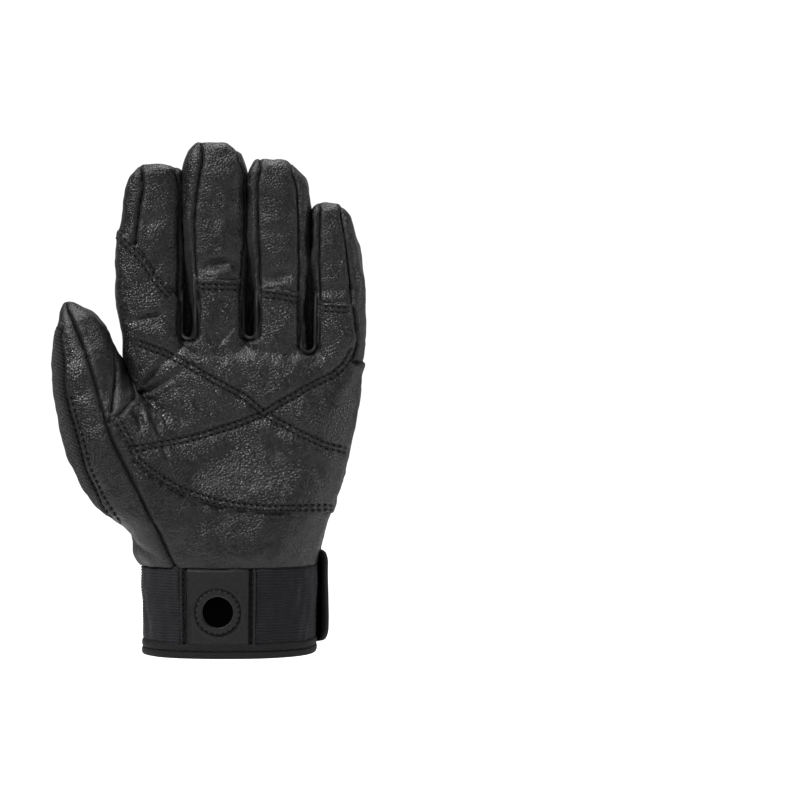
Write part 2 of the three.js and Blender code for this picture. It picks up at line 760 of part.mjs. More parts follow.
// The two stitched channels that cross on the patch
const quiltLines = [
  shareLine([
    { across: -0.36, up: 0.953 },
    { across: -0.23, up: 0.897 },
    { across: 0.062, up: 0.727 },
    { across: 0.151, up: 0.648 },
    { across: 0.298, up: 0.564 },
    { across: 0.488, up: 0.49 },
  ]),
  shareLine([
    { across: -0.359, up: 0.507 },
    { across: -0.17, up: 0.545 },
    { across: 0.053, up: 0.617 },
    { across: 0.151, up: 0.656 },
    { across: 0.261, up: 0.727 },
    { across: 0.462, up: 0.841 },
    { across: 0.521, up: 0.925 },
  ]),
];

function patchSolid(room) {
  const channels = quiltLines.map((points) => band(points, quiltWide)).reduce((a, b) => a.add(b));
  const depth = channels.subtract(handForm(patchRise - quiltDeep));
  return raisedShell.intersect(room).subtract(depth);
}

const leather = new THREE.MeshStandardMaterial({ color: 0x1f1f20, roughness: 0.5, metalness: 0 });
const knit = new THREE.MeshStandardMaterial({ color: 0x1c1c1f, roughness: 0.9, metalness: 0 });
const elastic = new THREE.MeshStandardMaterial({ color: 0x1e1e24, roughness: 0.85, metalness: 0 });
const strapFinish = new THREE.MeshStandardMaterial({ color: 0x0c0c0e, roughness: 0.6, metalness: 0 });

const group = new THREE.Group();

function addPiece(name, solid, material) {
  const mesh = new THREE.Mesh(geometryFrom(mainBody(solid)), material.clone());
  mesh.name = name;
  group.add(mesh);
}

// Each piece takes its cell, less what the pieces before it took
let taken = null;
for (const [name, one] of Object.entries(cells)) {
  const room = taken ? one.inside.subtract(taken) : one.inside;
  if (name === 'palm_patch') {
    addPiece(name, patchSolid(room), leather);
  } else {
    addPiece(name, shell.intersect(room), leather);
  }
  taken = taken ? taken.add(one.around) : one.around;
}
addPiece('back_panel', shell.subtract(taken), knit);

// Cuff: a flattened ring from low to high, grow mm outside the elastic's outer face
const cuffSection = { left: -cuffWidth / 2, right: cuffWidth / 2, front: -cuffDepth / 2, back: cuffDepth / 2 };

function cuffForm(low, high, grow, section = cuffSection) {
  return loft([low, high].map((z) => ringOf({ ...section, z }, cuffSides, boxyCuff, grow)));
}

function cuffWall(low, high, grow) {
  return cuffForm(low, high, grow).subtract(cuffForm(low - past, high + past, -elasticWall));
}

function upright(left, right, front, back) {
  return solidFrom(prism(
    [
      new THREE.Vector2(left, -far),
      new THREE.Vector2(right, -far),
      new THREE.Vector2(right, far),
      new THREE.Vector2(left, far),
    ],
    front,
    back,
  ));
}

function plugAt(radius) {
  const geometry = new THREE.CylinderGeometry(radius, radius, far, holeSides);
  geometry.translate(tabAcross, -far / 2, 0);
  geometry.translate(0, 0, holeUp);
  return solidFrom(geometry);
}

const bandLow = bindingHeight + gap;
const tabLeft = tabAcross - tabWidth / 2;
const tabRight = tabAcross + tabWidth / 2;
const seamLeft = tabLeft - gap - tabSeamWidth;
const seamRight = tabRight + gap + tabSeamWidth;

const elasticRing = cuffWall(bandLow, cuffHeight, 0);
addPiece('cuff_elastic', elasticRing.subtract(upright(seamLeft - gap, seamRight + gap, -far, 0)), elastic);
const tabWall = cuffWall(bandLow, cuffHeight, tabRise);
addPiece('cuff_tab', tabWall.intersect(upright(tabLeft, tabRight, -far, 0)).subtract(plugAt(holeRadius)), leather);
const seamWall = cuffWall(bandLow, cuffHeight, tabSeamRise);
addPiece('tab_seam_left', seamWall.intersect(upright(seamLeft, tabLeft - gap, -far, 0)), leather);
addPiece('tab_seam_right', seamWall.intersect(upright(tabRight + gap, seamRight, -far, 0)), leather);
const ringSkin = cuffForm(bandLow, cuffHeight, tabRise + gap + ringRise)
  .subtract(cuffForm(bandLow - past, cuffHeight + past, tabRise + gap));
addPiece('tab_ring', ringSkin.intersect(plugAt(holeRadius + ringWidth).subtract(plugAt(holeRadius))), leather);

// Hem binding: two rolls with a stitched groove between them
const rollHeight = (bindingHeight - bindingGroove) / 2;
const rollEdge = rollHeight / 4;
const bindingSteps = [
  { z: 0, grow: 0 },
  { z: rollEdge, grow: bindingRise },
  { z: rollHeight - rollEdge, grow: bindingRise },
  { z: rollHeight + bindingGroove / 2, grow: 0 },
  { z: bindingHeight - rollHeight + rollEdge, grow: bindingRise },
  { z: bindingHeight - rollEdge, grow: bindingRise },
  { z: bindingHeight, grow: 0 },
];
const bindingOuter = loft(
  bindingSteps.map((step) => ringOf({ ...cuffSection, z: step.z }, cuffSides, boxyCuff, step.grow)),
);
addPiece('cuff_binding', bindingOuter.subtract(cuffForm(-past, bindingHeight + past, -elasticWall)), elastic);

// Closing strap: a band that stands off the back of the cuff, with rounded corners
const strapTop = strapUp + strapHeight;
const strapSection = {
  left: -cuffWidth / 2 - strapStandOff,
  right: cuffWidth / 2 + strapStandOff,
  front: -cuffDepth / 2 - bindingRise - gap,
  back: cuffDepth / 2 + bindingRise + gap,
};

// Outline of the band from one rounded end onwards
function roundedEnd(start) {
  const points = [];
  const corner = (up, from) => {
    for (let i = 0; i <= cornerSides; i += 1) {
      const turn = from - ((Math.PI / 2) * i) / cornerSides;
      const across = start + strapCorner + strapCorner * Math.cos(turn);
      points.push(new THREE.Vector2(across, up + strapCorner * Math.sin(turn)));
    }
  };
  corner(strapTop - strapCorner, Math.PI);
  points.push(new THREE.Vector2(far, strapTop), new THREE.Vector2(far, strapUp));
  corner(strapUp + strapCorner, -Math.PI / 2);
  return points;
}

const strapBand = cuffForm(strapUp, strapTop, strapThick, strapSection)
  .subtract(cuffForm(strapUp - past, strapTop + past, 0, strapSection));
const fromSide = solidFrom(sideways(roundedEnd(strapFront)));
const fromBehind = solidFrom(prism(roundedEnd(-strapReach), strapFront, far));
addPiece('closure_strap', strapBand.intersect(fromSide).intersect(fromBehind), strapFinish);

export default group;
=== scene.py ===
import math
from functools import partial
import bpy
import numpy as np
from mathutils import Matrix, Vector
from mathutils.bvhtree import BVHTree
from mathutils.kdtree import KDTree


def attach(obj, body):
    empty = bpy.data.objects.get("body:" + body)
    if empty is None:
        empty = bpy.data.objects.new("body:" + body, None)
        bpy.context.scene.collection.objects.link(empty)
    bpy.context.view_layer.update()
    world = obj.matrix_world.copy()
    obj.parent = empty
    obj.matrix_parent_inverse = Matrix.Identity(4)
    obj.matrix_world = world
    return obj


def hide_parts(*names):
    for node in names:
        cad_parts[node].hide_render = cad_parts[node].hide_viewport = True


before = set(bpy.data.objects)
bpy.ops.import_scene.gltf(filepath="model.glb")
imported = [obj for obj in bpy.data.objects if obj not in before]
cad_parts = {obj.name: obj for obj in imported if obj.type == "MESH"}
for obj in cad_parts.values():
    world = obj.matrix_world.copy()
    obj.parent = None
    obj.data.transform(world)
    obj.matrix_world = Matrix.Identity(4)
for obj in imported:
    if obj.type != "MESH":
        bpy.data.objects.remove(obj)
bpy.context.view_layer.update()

mm = 0.001

# Sizes of the glove in millimetres: +Z from the cuff to the fingertips, palm on -Y, thumb on -X
glove = {
    "cuffWidth": 83.0,
    "cuffDepth": 55.0,
    "cuffHeight": 41.3,
    "palmWidth": 113.0,
    "palmDepth": 44.0,
    "palmLength": 108.0,
    "fingerCurl": 5.0,
    "thumbLength": 119.5,
    "thumbWidth": 29.5,
    "thumbDepth": 34.0,
    "wrist": 41.65,
    "leather": 1.3,
}

# The camera's eye, from which every seam is laid out as it is seen, on the plane through the origin
eye = {"across": 80.75, "away": 750.0, "up": 118.75, "viewWidth": 380.0}

palmColumns = ("up", "left", "right", "front", "back")
palmRows = [
    (0.0, -0.362, 0.366, -0.61, 0.6),
    (0.035, -0.376, 0.373, -0.635, 0.6),
    (0.12, -0.405, 0.392, -0.64, 0.58),
    (0.27, -0.435, 0.439, -0.6, 0.55),
    (0.42, -0.44, 0.479, -0.55, 0.51),
    (0.59, -0.425, 0.517, -0.5, 0.475),
    (0.7, -0.4, 0.536, -0.465, 0.45),
    (0.76, -0.4, 0.544, -0.44, 0.435),
    (0.82, -0.416, 0.551, -0.42, 0.42),
    (0.89, -0.434, 0.56, -0.385, 0.39),
    (0.935, -0.434, 0.56, -0.32, 0.33),
]

fingerColumns = ("up", "left", "right", "front", "back", "seamLeft", "seamRight")
fingers = {
    "index": {
        "length": 80.0, "width": 30.0, "depth": 27.0, "across": -0.325, "crotch": 0.993,
        "rows": [
            (-0.31, -0.3, 0.42, -0.5, 0.5, -0.3, 0.42),
            (-0.07, -0.43, 0.61, -0.585, 0.59, -0.3, 0.42),
            (0.035, -0.45, 0.556, -0.575, 0.56, -0.3, 0.42),
            (0.23, -0.53, 0.541, -0.54, 0.52, -0.3, 0.425),
            (0.46, -0.527, 0.523, -0.51, 0.49, -0.295, 0.43),
            (0.81, -0.413, 0.494, -0.46, 0.43, -0.195, 0.43),
            (0.91, -0.35, 0.482, -0.425, 0.39, -0.155, 0.42),
            (0.972, -0.24, 0.438, -0.37, 0.315, -0.185, 0.375),
            (1.0, -0.18, 0.33, -0.28, 0.2, -0.2, 0.36),
        ],
    },
    "middle": {
        "length": 90.0, "width": 29.0, "depth": 28.0, "across": -0.054, "crotch": 0.997,
        "rows": [
            (-0.26, -0.38, 0.38, -0.5, 0.52, -0.31, 0.39),
            (-0.065, -0.55, 0.62, -0.585, 0.58, -0.31, 0.39),
            (0.025, -0.464, 0.526, -0.57, 0.55, -0.31, 0.39),
            (0.2, -0.479, 0.522, -0.55, 0.52, -0.315, 0.39),
            (0.4, -0.498, 0.515, -0.52, 0.5, -0.38, 0.43),
            (0.74, -0.526, 0.497, -0.47, 0.45, -0.35, 0.458),
            (0.86, -0.515, 0.483, -0.435, 0.4, -0.286, 0.434),
            (0.937, -0.455, 0.38, -0.385, 0.34, -0.236, 0.335),
            (0.979, -0.376, 0.286, -0.33, 0.27, -0.26, 0.315),
            (1.0, -0.297, 0.21, -0.25, 0.18, -0.27, 0.3),
        ],
    },
    "ring": {
        "length": 82.0, "width": 29.5, "depth": 27.0, "across": 0.2115, "crotch": 0.997,
        "rows": [
            (-0.29, -0.37, 0.38, -0.5, 0.52, -0.33, 0.3),
            (-0.13, -0.5, 0.58, -0.57, 0.58, -0.33, 0.3),
            (-0.057, -0.555, 0.485, -0.58, 0.575, -0.33, 0.3),
            (0.028, -0.483, 0.485, -0.57, 0.56, -0.33, 0.3),
            (0.22, -0.488, 0.487, -0.55, 0.53, -0.335, 0.305),
            (0.44, -0.495, 0.49, -0.52, 0.505, -0.357, 0.302),
            (0.79, -0.51, 0.457, -0.465, 0.445, -0.39, 0.29),
            (0.895, -0.505, 0.4, -0.43, 0.4, -0.372, 0.265),
            (0.962, -0.445, 0.235, -0.365, 0.33, -0.33, 0.195),
            (1.0, -0.36, 0.132, -0.26, 0.2, -0.34, 0.18),
        ],
    },
    "little": {
        "length": 68.5, "width": 25.5, "depth": 24.0, "across": 0.4566, "crotch": 0.935,
        "rows": [
            (-0.26, -0.35, 0.33, -0.5, 0.54, -0.385, 0.35),
            (-0.05, -0.57, 0.47, -0.605, 0.62, -0.385, 0.35),
            (0.035, -0.5, 0.495, -0.605, 0.6, -0.385, 0.35),
            (0.2, -0.5, 0.505, -0.575, 0.565, -0.38, 0.315),
            (0.37, -0.5, 0.503, -0.55, 0.54, -0.375, 0.245),
            (0.57, -0.498, 0.45, -0.52, 0.515, -0.385, 0.19),
            (0.75, -0.495, 0.36, -0.49, 0.48, -0.39, 0.13),
            (0.88, -0.488, 0.25, -0.45, 0.435, -0.385, 0.085),
            (0.96, -0.455, 0.135, -0.385, 0.365, -0.355, 0.06),
            (1.0, -0.345, 0.015, -0.27, 0.2, -0.35, 0.05),
        ],
    },
}

thumbColumns = ("up", "left", "right", "front", "back", "knit", "main", "pad")
thumb = {"across": -0.384, "seamAcross": -0.4, "root": 0.03}
thumbRows = [
    (0.0, 0.45, 0.95, -0.75, 0.3, 0.0, 0.62, 1.6),
    (0.065, 0.05, 1.1, -0.84, 0.35, -0.1, 0.46, 1.6),
    (0.13, -0.2, 1.15, -0.93, 0.4, -0.28, 0.31, 1.4),
    (0.175, -0.48, 1.15, -0.96, 0.42, -0.42, 0.24, 1.2),
    (0.28, -0.82, 1.1, -0.98, 0.42, -0.65, 0.02, 0.9),
    (0.37, -1.03, 0.9, -0.97, 0.39, -0.81, -0.155, 0.6),
    (0.54, -1.2, 0.5, -0.91, 0.32, -1.01, -0.46, -0.38),
    (0.66, -1.31, 0.02, -0.82, 0.26, -1.12, -0.587, -0.31),
    (0.755, -1.312, -0.17, -0.755, 0.2, -1.15, -0.69, -0.285),
    (0.835, -1.287, -0.315, -0.68, 0.14, -1.22, -0.807, -0.308),
    (0.915, -1.24, -0.505, -0.585, 0.07, -1.35, -0.945, -0.35),
    (0.97, -1.18, -0.73, -0.48, -0.04, -1.4, -1.02, -0.4),
    (1.0, -1.115, -0.98, -0.36, -0.18, -1.4, -1.06, -0.45),
]

# Dents and swells of the palm side, as shares of its width, length and depth: across, up, wide, tall, deep
dents = [
    (0.04, 0.52, 0.24, 0.24, 0.12),
    (-0.385, 0.62, 0.04, 0.09, 0.1),
    (-0.29, 0.55, 0.035, 0.09, 0.06),
    (0.3, 0.32, 0.14, 0.16, -0.05),
    (-0.04, 0.98, 0.04, 0.06, 0.04),
    (-0.34, 1.07, 0.09, 0.03, 0.035),
    (-0.15, 0.42, 0.05, 0.12, 0.04),
    (-0.05, 1.31, 0.11, 0.035, 0.045),
    (0.22, 1.27, 0.11, 0.035, 0.035),
    (0.45, 1.2, 0.11, 0.03, 0.025),
]

# Seam and stitch lines as seen, in millimetres (across, up)
lines = {
    "quiltFalling": [
        (-43.7, 145.8), (-40.0, 144.5), (-30.9, 141.1), (-20.1, 135.4), (-7.1, 127.8), (1.7, 123.2),
        (7.0, 120.2), (17.1, 111.6), (33.7, 102.6), (46.1, 96.9), (57.0, 94.5),
    ],
    "quiltRising": [
        (-48.4, 95.5), (-40.5, 96.4), (-27.1, 98.8), (-20.1, 100.2), (-12.3, 102.3), (-3.8, 105.0),
        (6.0, 108.3), (15.7, 112.1), (23.8, 117.3), (29.4, 120.2), (35.9, 124.2), (42.8, 127.8), (48.9, 130.6),
        (54.1, 134.9), (58.9, 143.0),
    ],
    "patchArc": [
        (-57.5, 113.0), (-56.3, 109.2), (-53.4, 104.5), (-50.8, 99.8), (-47.8, 93.1), (-46.1, 89.3),
        (-42.5, 86.0), (-35.1, 80.3), (-25.6, 74.6), (-15.7, 70.8), (-6.2, 67.9), (3.6, 66.2), (18.5, 64.9),
        (33.2, 65.1), (48.4, 65.5),
    ],
    "indexEdge": [
        (-52.2, 199.0), (-51.1, 198.1), (-46.5, 193.3), (-41.0, 188.1), (-37.0, 182.4), (-33.7, 177.2),
        (-29.4, 172.4), (-25.6, 168.2),
    ],
    "middleEdge": [(-17.1, 176.2), (-5.7, 176.0), (6.2, 175.8)],
    "ringEdge": [(13.8, 172.2), (23.8, 171.2), (33.7, 169.3)],
    "littleEdge": [(41.3, 165.3), (49.9, 164.8), (57.9, 164.3)],
    "thumbMain": [
        (-77.9, 162.9), (-73.3, 152.9), (-68.9, 142.0), (-64.1, 127.3), (-61.3, 115.4), (-58.9, 107.3),
        (-56.3, 99.8), (-51.5, 89.8), (-45.6, 78.4), (-39.4, 65.5), (-34.5, 56.0), (-29.6, 46.1), (-25.8, 38.5),
    ],
    "thumbPad": [
        (-59.8, 153.9), (-56.0, 147.2), (-54.4, 143.4), (-53.7, 132.2), (-54.4, 124.9), (-55.9, 116.8),
        (-56.8, 111.4), (-58.4, 106.9),
    ],
    "thumbKnit": [
        (-81.2, 148.2), (-79.8, 137.3), (-79.3, 127.3), (-78.6, 120.2), (-75.7, 108.8), (-73.6, 102.1),
        (-71.8, 95.7), (-69.9, 87.4), (-66.5, 79.3), (-63.2, 72.4), (-59.4, 66.5), (-55.3, 59.8),
    ],
    "wristSeam": [
        (-42.8, 38.2), (-23.8, 38.1), (4.8, 38.2), (18.1, 38.8), (29.0, 39.4), (36.3, 39.9), (41.2, 41.8),
    ],
}

# Folds and creases as seen: line, half width and depth in millimetres
folds = [
    ([(-44.6, 120.2), (-38.9, 128.2), (-32.3, 136.1)], 1.3, 1.1),
    ([(-44.2, 119.2), (-33.2, 125.9), (-23.3, 132.0)], 1.4, 1.0),
    ([(-44.2, 117.8), (-36.1, 118.8)], 1.2, 0.8),
    ([(-45.6, 113.0), (-43.4, 109.2), (-42.3, 105.4)], 1.5, 1.3),
    ([(-37.5, 109.2), (-35.6, 107.6), (-33.2, 104.0)], 1.3, 1.0),
    ([(-38.9, 114.9), (-36.6, 109.2), (-33.2, 100.2)], 1.2, 0.9),
    ([(-32.3, 97.8), (-30.9, 93.1), (-29.9, 88.8)], 1.2, 0.7),
    ([(-46.5, 155.8), (-38.9, 158.2), (-30.4, 160.5)], 1.3, 0.9),
    ([(2.8, 155.8), (-0.9, 151.0), (-5.7, 144.4)], 1.4, 0.7),
    ([(-19.2, 147.2), (-19.0, 139.7), (-19.9, 128.2)], 2.1, 0.5),
    ([(-17.1, 181.9), (-5.7, 183.8), (6.6, 186.2)], 2.2, 0.9),
    ([(13.3, 176.2), (23.8, 177.7), (33.2, 180.0)], 2.2, 0.9),
    ([(41.8, 170.5), (49.9, 171.5), (57.9, 172.4)], 1.8, 0.6),
    ([(-49.4, 206.1), (-38.0, 203.3), (-25.6, 203.8)], 2.4, 0.5),
    ([(-15.2, 207.1), (-4.8, 204.7), (6.6, 206.6)], 2.6, 0.4),
    ([(13.3, 200.4), (23.8, 198.5), (32.3, 200.4)], 2.6, 0.4),
    ([(15.2, 107.3), (19.5, 97.8), (25.6, 84.5)], 3.0, 0.95),
    ([(-16.1, 89.3), (-7.6, 82.6), (0.9, 74.1)], 3.2, 0.4),
    ([(36.1, 96.9), (41.8, 87.4), (45.6, 76.0)], 2.8, 0.6),
    ([(2.8, 145.3), (4.3, 133.9), (6.2, 120.6)], 2.3, 0.5),
    ([(18.1, 144.4), (19.0, 132.0), (17.1, 118.8)], 2.4, 0.42),
    ([(33.2, 132.0), (43.7, 141.5), (54.1, 152.0)], 2.8, 0.45),
    ([(-27.5, 118.8), (-22.8, 109.2), (-19.0, 97.8)], 2.6, 0.5),
    ([(-8.5, 141.5), (-7.6, 134.9), (-10.4, 126.3)], 2.4, 0.3),
    ([(29.4, 149.2), (28.5, 141.5), (31.3, 131.1)], 2.4, 0.35),
]

# How the leather lies: voxel size, smoothing rounds and the depths of its relief
skinShape = {
    "voxel": 0.8,
    "smoothing": 12,
    "seamDeep": 0.8,
    "seamWide": 0.8,
    # seamShade and seamShadeWide: strength and reach of the painted shade beside the seams
    "seamShade": 0.42,
    "seamShadeWide": 5.0,
    "seamPuff": 0.3,
    "puffAway": 2.4,
    "puffWide": 1.5,
    "dome": 1.1,
    "domeWide": 7.0,
    "overlapRise": 0.3,
    "overlapAway": 0.9,
    "overlapWide": 1.2,
    "patchRise": 1.0,
    "edgeRise": 0.45,
    "edgeInside": 1.0,
    "edgeDeep": 0.4,
    "edgeOutside": 0.4,
    "edgeWide": 0.7,
    "quiltDeep": 0.55,
    "quiltWide": 2.6,
    "quiltRise": 0.25,
    "quiltAway": 6.0,
    "quiltRiseWide": 3.0,
    "rowDeep": 0.13,
    "rowWide": 0.55,
    "rowsApart": 2.4,
    "slotWide": 3.0,
    "slotSpread": 6.0,
    "slotDeep": 6.0,
    "stitchPitch": 3.0,
}

# Where the palm flows into the thumb: middle, half sizes in millimetres, rounds of easing
easedPlaces = [((-19.0, 84.0), (25.0, 36.0), 420), ((-48.0, 150.0), (12.0, 16.0), 30)]


def columnOf(rows, columns, name):
    return np.array([row[columns.index(name)] for row in rows], float)


# A smooth curve through one column of a table
def curveThrough(rows, columns, name, ups):
    known = columnOf(rows, columns, "up")
    value = columnOf(rows, columns, name)
    slope = np.gradient(value, known)
    k = np.clip(np.searchsorted(known, ups) - 1, 0, len(known) - 2)
    span = known[k + 1] - known[k]
    t = np.clip((ups - known[k]) / span, 0, 1)
    return (
        (2 * t**3 - 3 * t**2 + 1) * value[k]
        + (t**3 - 2 * t**2 + t) * span * slope[k]
        + (-2 * t**3 + 3 * t**2) * value[k + 1]
        + (t**3 - t**2) * span * slope[k + 1]
    )


def palmUp(share):
    return glove["wrist"] + share * glove["palmLength"]


def palmAcross(share):
    return share * glove["palmWidth"]


def fingerUp(finger, share):
    return palmUp(finger["crotch"]) + share * finger["length"]


def thumbUp(share):
    return palmUp(thumb["root"]) + share * glove["thumbLength"]


def curlForward(z):
    above = np.maximum(0, z - palmUp(0.9))
    reach = fingers["middle"]["length"] + glove["palmLength"] * 0.1
    return glove["fingerCurl"] * (above / reach) ** 2


def seenFrom(points):
    scale = 1 + points[..., 1] / eye["away"]
    across = eye["across"] + (points[..., 0] - eye["across"]) / scale
    up = eye["up"] + (points[..., 2] - eye["up"]) / scale
    return np.stack([across, up], -1)


def dentAt(points):
    seen = seenFrom(points)
    inward = np.zeros(points.shape[:-1])
    for across, up, wide, tall, deep in dents:
        dx = (seen[..., 0] - across * glove["palmWidth"]) / (wide * glove["palmWidth"])
        dz = (seen[..., 1] - palmUp(up)) / (tall * glove["palmLength"])
        inward += deep * glove["palmDepth"] * np.exp(-dx * dx - dz * dz)
    return inward


# Level rings of a rounded box, from arrays of its sides and heights
def ringsOf(left, right, front, back, z, boxy, sides):
    turn = np.linspace(0, 2 * math.pi, sides, endpoint=False)
    c, s = np.cos(turn), np.sin(turn)
    halfX, halfY = (right - left) / 2, (back - front) / 2
    x = ((left + right) / 2)[:, None] + halfX[:, None] * np.sign(c) * np.abs(c) ** (2 / boxy)
    y = ((front + back) / 2)[:, None] + halfY[:, None] * np.sign(s) * np.abs(s) ** (2 / boxy)
    points = np.stack([x, y, np.broadcast_to(z[:, None], x.shape)], -1)
    frontShare = np.maximum(0, ((front + back) / 2)[:, None] - y) / halfY[:, None]
    points[..., 1] += dentAt(points) * frontShare - curlForward(points[..., 2])
    return points


def loftMesh(rings):
    rows, sides = rings.shape[:2]
    points = rings.reshape(-1, 3)
    k = np.arange(sides)
    n = (k + 1) % sides
    faces = []
    for row in range(rows - 1):
        a, b = row * sides + k, row * sides + n
        faces += np.stack([a, b, b + sides, a + sides], -1).tolist()
    faces.append(list(range(sides))[::-1])
    faces.append([(rows - 1) * sides + i for i in range(sides)])
    return points, faces


def fullForm(rows, columns, placeAcross, placeUp, depth, boxy, extra):
    known = columnOf(rows, columns, "up")
    ups = np.unique(np.concatenate([np.linspace(known[0], known[-1], 60), known]))
    value = {name: curveThrough(rows, columns, name, ups) for name in ("left", "right", "front", "back")}
    z = placeUp(ups)
    if extra:
        z = np.concatenate([[z[0] - extra], z])
        value = {name: np.concatenate([[v[0]], v]) for name, v in value.items()}
    return loftMesh(ringsOf(
        placeAcross(value["left"]), placeAcross(value["right"]),
        value["front"] * depth, value["back"] * depth, z, boxy, 96,
    ))


def fingerAcross(finger, share):
    return finger["across"] * glove["palmWidth"] + share * finger["width"]


def thumbAcross(share):
    return thumb["across"] * glove["palmWidth"] + share * glove["thumbWidth"]


# Where the slot between two fingers lies, at any height, and how far it is spread while the skin is made
slots = []
fingerNames = list(fingers)
for name, nextName in zip(fingerNames, fingerNames[1:]):
    heights = np.linspace(palmUp(0.9), palmUp(1.9), 80)
    sides = []
    for finger, side in ((fingers[name], "right"), (fingers[nextName], "left")):
        ups = (heights - fingerUp(finger, 0)) / finger["length"]
        ups = np.clip(ups, finger["rows"][2][0], 0.9)
        sides.append(fingerAcross(finger, curveThrough(finger["rows"], fingerColumns, side, ups)))
    low = palmUp(min(fingers[name]["crotch"], fingers[nextName]["crotch"]))
    slots.append({"heights": heights, "across": (sides[0] + sides[1]) / 2, "low": low})


def smoothStep(value, low, high):
    t = np.clip((value - low) / (high - low), 0, 1)
    return t * t * (3 - 2 * t)


def spreadAcross(x, z):
    moved = x.copy()
    for slot in slots:
        centre = np.interp(z, slot["heights"], slot["across"])
        raised = smoothStep(z, slot["low"] - 9, slot["low"] - 1)
        half = skinShape["slotWide"] / 2
        moved += skinShape["slotSpread"] * raised * smoothStep(x - centre, -half, half)
    return moved


def gatherAcross(moved, z):
    low = moved - 4 * skinShape["slotSpread"]
    high = moved.copy()
    for _ in range(26):
        middle = (low + high) / 2
        right = spreadAcross(middle, z) < moved
        low = np.where(right, middle, low)
        high = np.where(right, high, middle)
    return (low + high) / 2


def newObject(name, points, faces):
    mesh = bpy.data.meshes.new(name)
    mesh.from_pydata((np.asarray(points) * mm).tolist(), [], faces)
    mesh.update()
    made = bpy.data.objects.new(name, mesh)
    bpy.context.scene.collection.objects.link(made)
    return made


def chooseOnly(piece):
    bpy.ops.object.select_all(action="DESELECT")
    piece.select_set(True)
    bpy.context.view_layer.objects.active = piece


def readMesh(piece):
    mesh = piece.data
    points = np.empty(len(mesh.vertices) * 3)
    mesh.vertices.foreach_get("co", points)
    quads = np.array([(*face.vertices, -1)[:4] for face in mesh.polygons])
    return points.reshape(-1, 3) / mm, quads


print("hand: lofting and joining the forms")
forms = [
    fullForm(palmRows, palmColumns, palmAcross, palmUp, glove["palmDepth"], 2.6, 8),
    fullForm(thumbRows, thumbColumns, thumbAcross, thumbUp, glove["thumbDepth"], 2.3, 0),
]
for finger in fingers.values():
    forms.append(fullForm(
        finger["rows"], fingerColumns, lambda share: fingerAcross(finger, share),
        lambda share: fingerUp(finger, share), finger["depth"], 3.0, 0,
    ))
allPoints, allFaces, count = [], [], 0
for points, faces in forms:
    allPoints.append(points)
    allFaces += [[i + count for i in face] for face in faces]
    count += len(points)
allPoints = np.concatenate(allPoints)
allPoints[:, 0] = spreadAcross(allPoints[:, 0], allPoints[:, 2])
hand = newObject("hand", allPoints, allFaces)
chooseOnly(hand)
remesh = hand.modifiers.new("skin", "REMESH")
remesh.mode = "VOXEL"
remesh.voxel_size = skinShape["voxel"] * mm
bpy.ops.object.modifier_apply(modifier="skin")
skin, skinFaces = readMesh(hand)
skin[:, 0] = gatherAcross(skin[:, 0], skin[:, 2])
bpy.data.objects.remove(hand)


def edgesOf(faces):
    following = np.roll(faces, -1, axis=1)
    pairs = np.stack([faces, following], -1).reshape(-1, 2)
    return np.unique(np.sort(pairs, axis=1), axis=0)


def smoothed(values, edges, rounds, share=0.5):
    count = len(values)
    degree = np.bincount(edges.ravel(), minlength=count)[:, None]
    flat = values.reshape(count, -1)
    for _ in range(rounds):
        total = np.zeros_like(flat)
        for axis in range(flat.shape[1]):
            total[:, axis] = np.bincount(edges[:, 0], flat[edges[:, 1], axis], count)
            total[:, axis] += np.bincount(edges[:, 1], flat[edges[:, 0], axis], count)
        flat = flat + share * (total / np.maximum(degree, 1) - flat)
    return flat.reshape(values.shape)


def normalsOf(points, faces):
    a, b, c, d = (points[faces[:, i]] for i in range(4))
    across = np.cross(c - a, d - b)
    total = np.zeros_like(points)
    for i in range(4):
        for axis in range(3):
            total[:, axis] += np.bincount(faces[:, i], across[:, axis], len(points))
    return total / np.maximum(np.linalg.norm(total, axis=1, keepdims=True), 1e-9)


skinEdges = edgesOf(skinFaces)
# Rounds of smoothing in and out, which take the steps away and keep the size
for _ in range(skinShape["smoothing"]):
    skin = smoothed(skin, skinEdges, 1, 0.6)
    skin = smoothed(skin, skinEdges, 1, -0.61)


def easedWithin(points, mask, rounds):
    held = np.nonzero(mask > 0)[0]
    place = np.full(len(points), -1)
    place[held] = np.arange(len(held))
    edges = place[skinEdges[(mask[skinEdges] > 0).all(1)]]
    degree = np.maximum(np.bincount(edges.ravel(), minlength=len(held)), 1)
    local = points[held]
    weight = 0.5 * mask[held]
    for _ in range(rounds):
        for axis in range(3):
            total = np.bincount(edges[:, 0], local[edges[:, 1], axis], len(held))
            total += np.bincount(edges[:, 1], local[edges[:, 0], axis], len(held))
            local[:, axis] += weight * (total / degree - local[:, axis])
    points[held] = local


for middle, half, rounds in easedPlaces:
    reach = np.linalg.norm((seenFrom(skin) - middle) / half, axis=1)
    easedWithin(skin, smoothStep(1 - reach, 0, 0.45) * (skin[:, 1] < -4), rounds)
print("hand skin:", len(skin), "points", len(skinFaces), "faces")

# Seams of the panels, as seen: worked out from the tables above


def fingerSeam(finger, side):
    first = finger["rows"][1][0]
    ups = np.linspace(first, 1, 26)
    ups = ups[ups > 0]
    across = fingerAcross(finger, curveThrough(finger["rows"], fingerColumns, side, ups))
    points = np.stack([across, fingerUp(finger, ups)], -1)
    return np.concatenate([points, [[points[-1, 0], points[-1, 1] + 5]]])


seams = {
    name: {side: fingerSeam(finger, "seam" + side.capitalize()) for side in ("left", "right")}
    for name, finger in fingers.items()
}
line = {name: np.array(points) for name, points in lines.items()}
far = 150.0
thumbTop = thumbUp(0.9)
knuckles = palmUp(1.1)
fingerTop = palmUp(1.95)


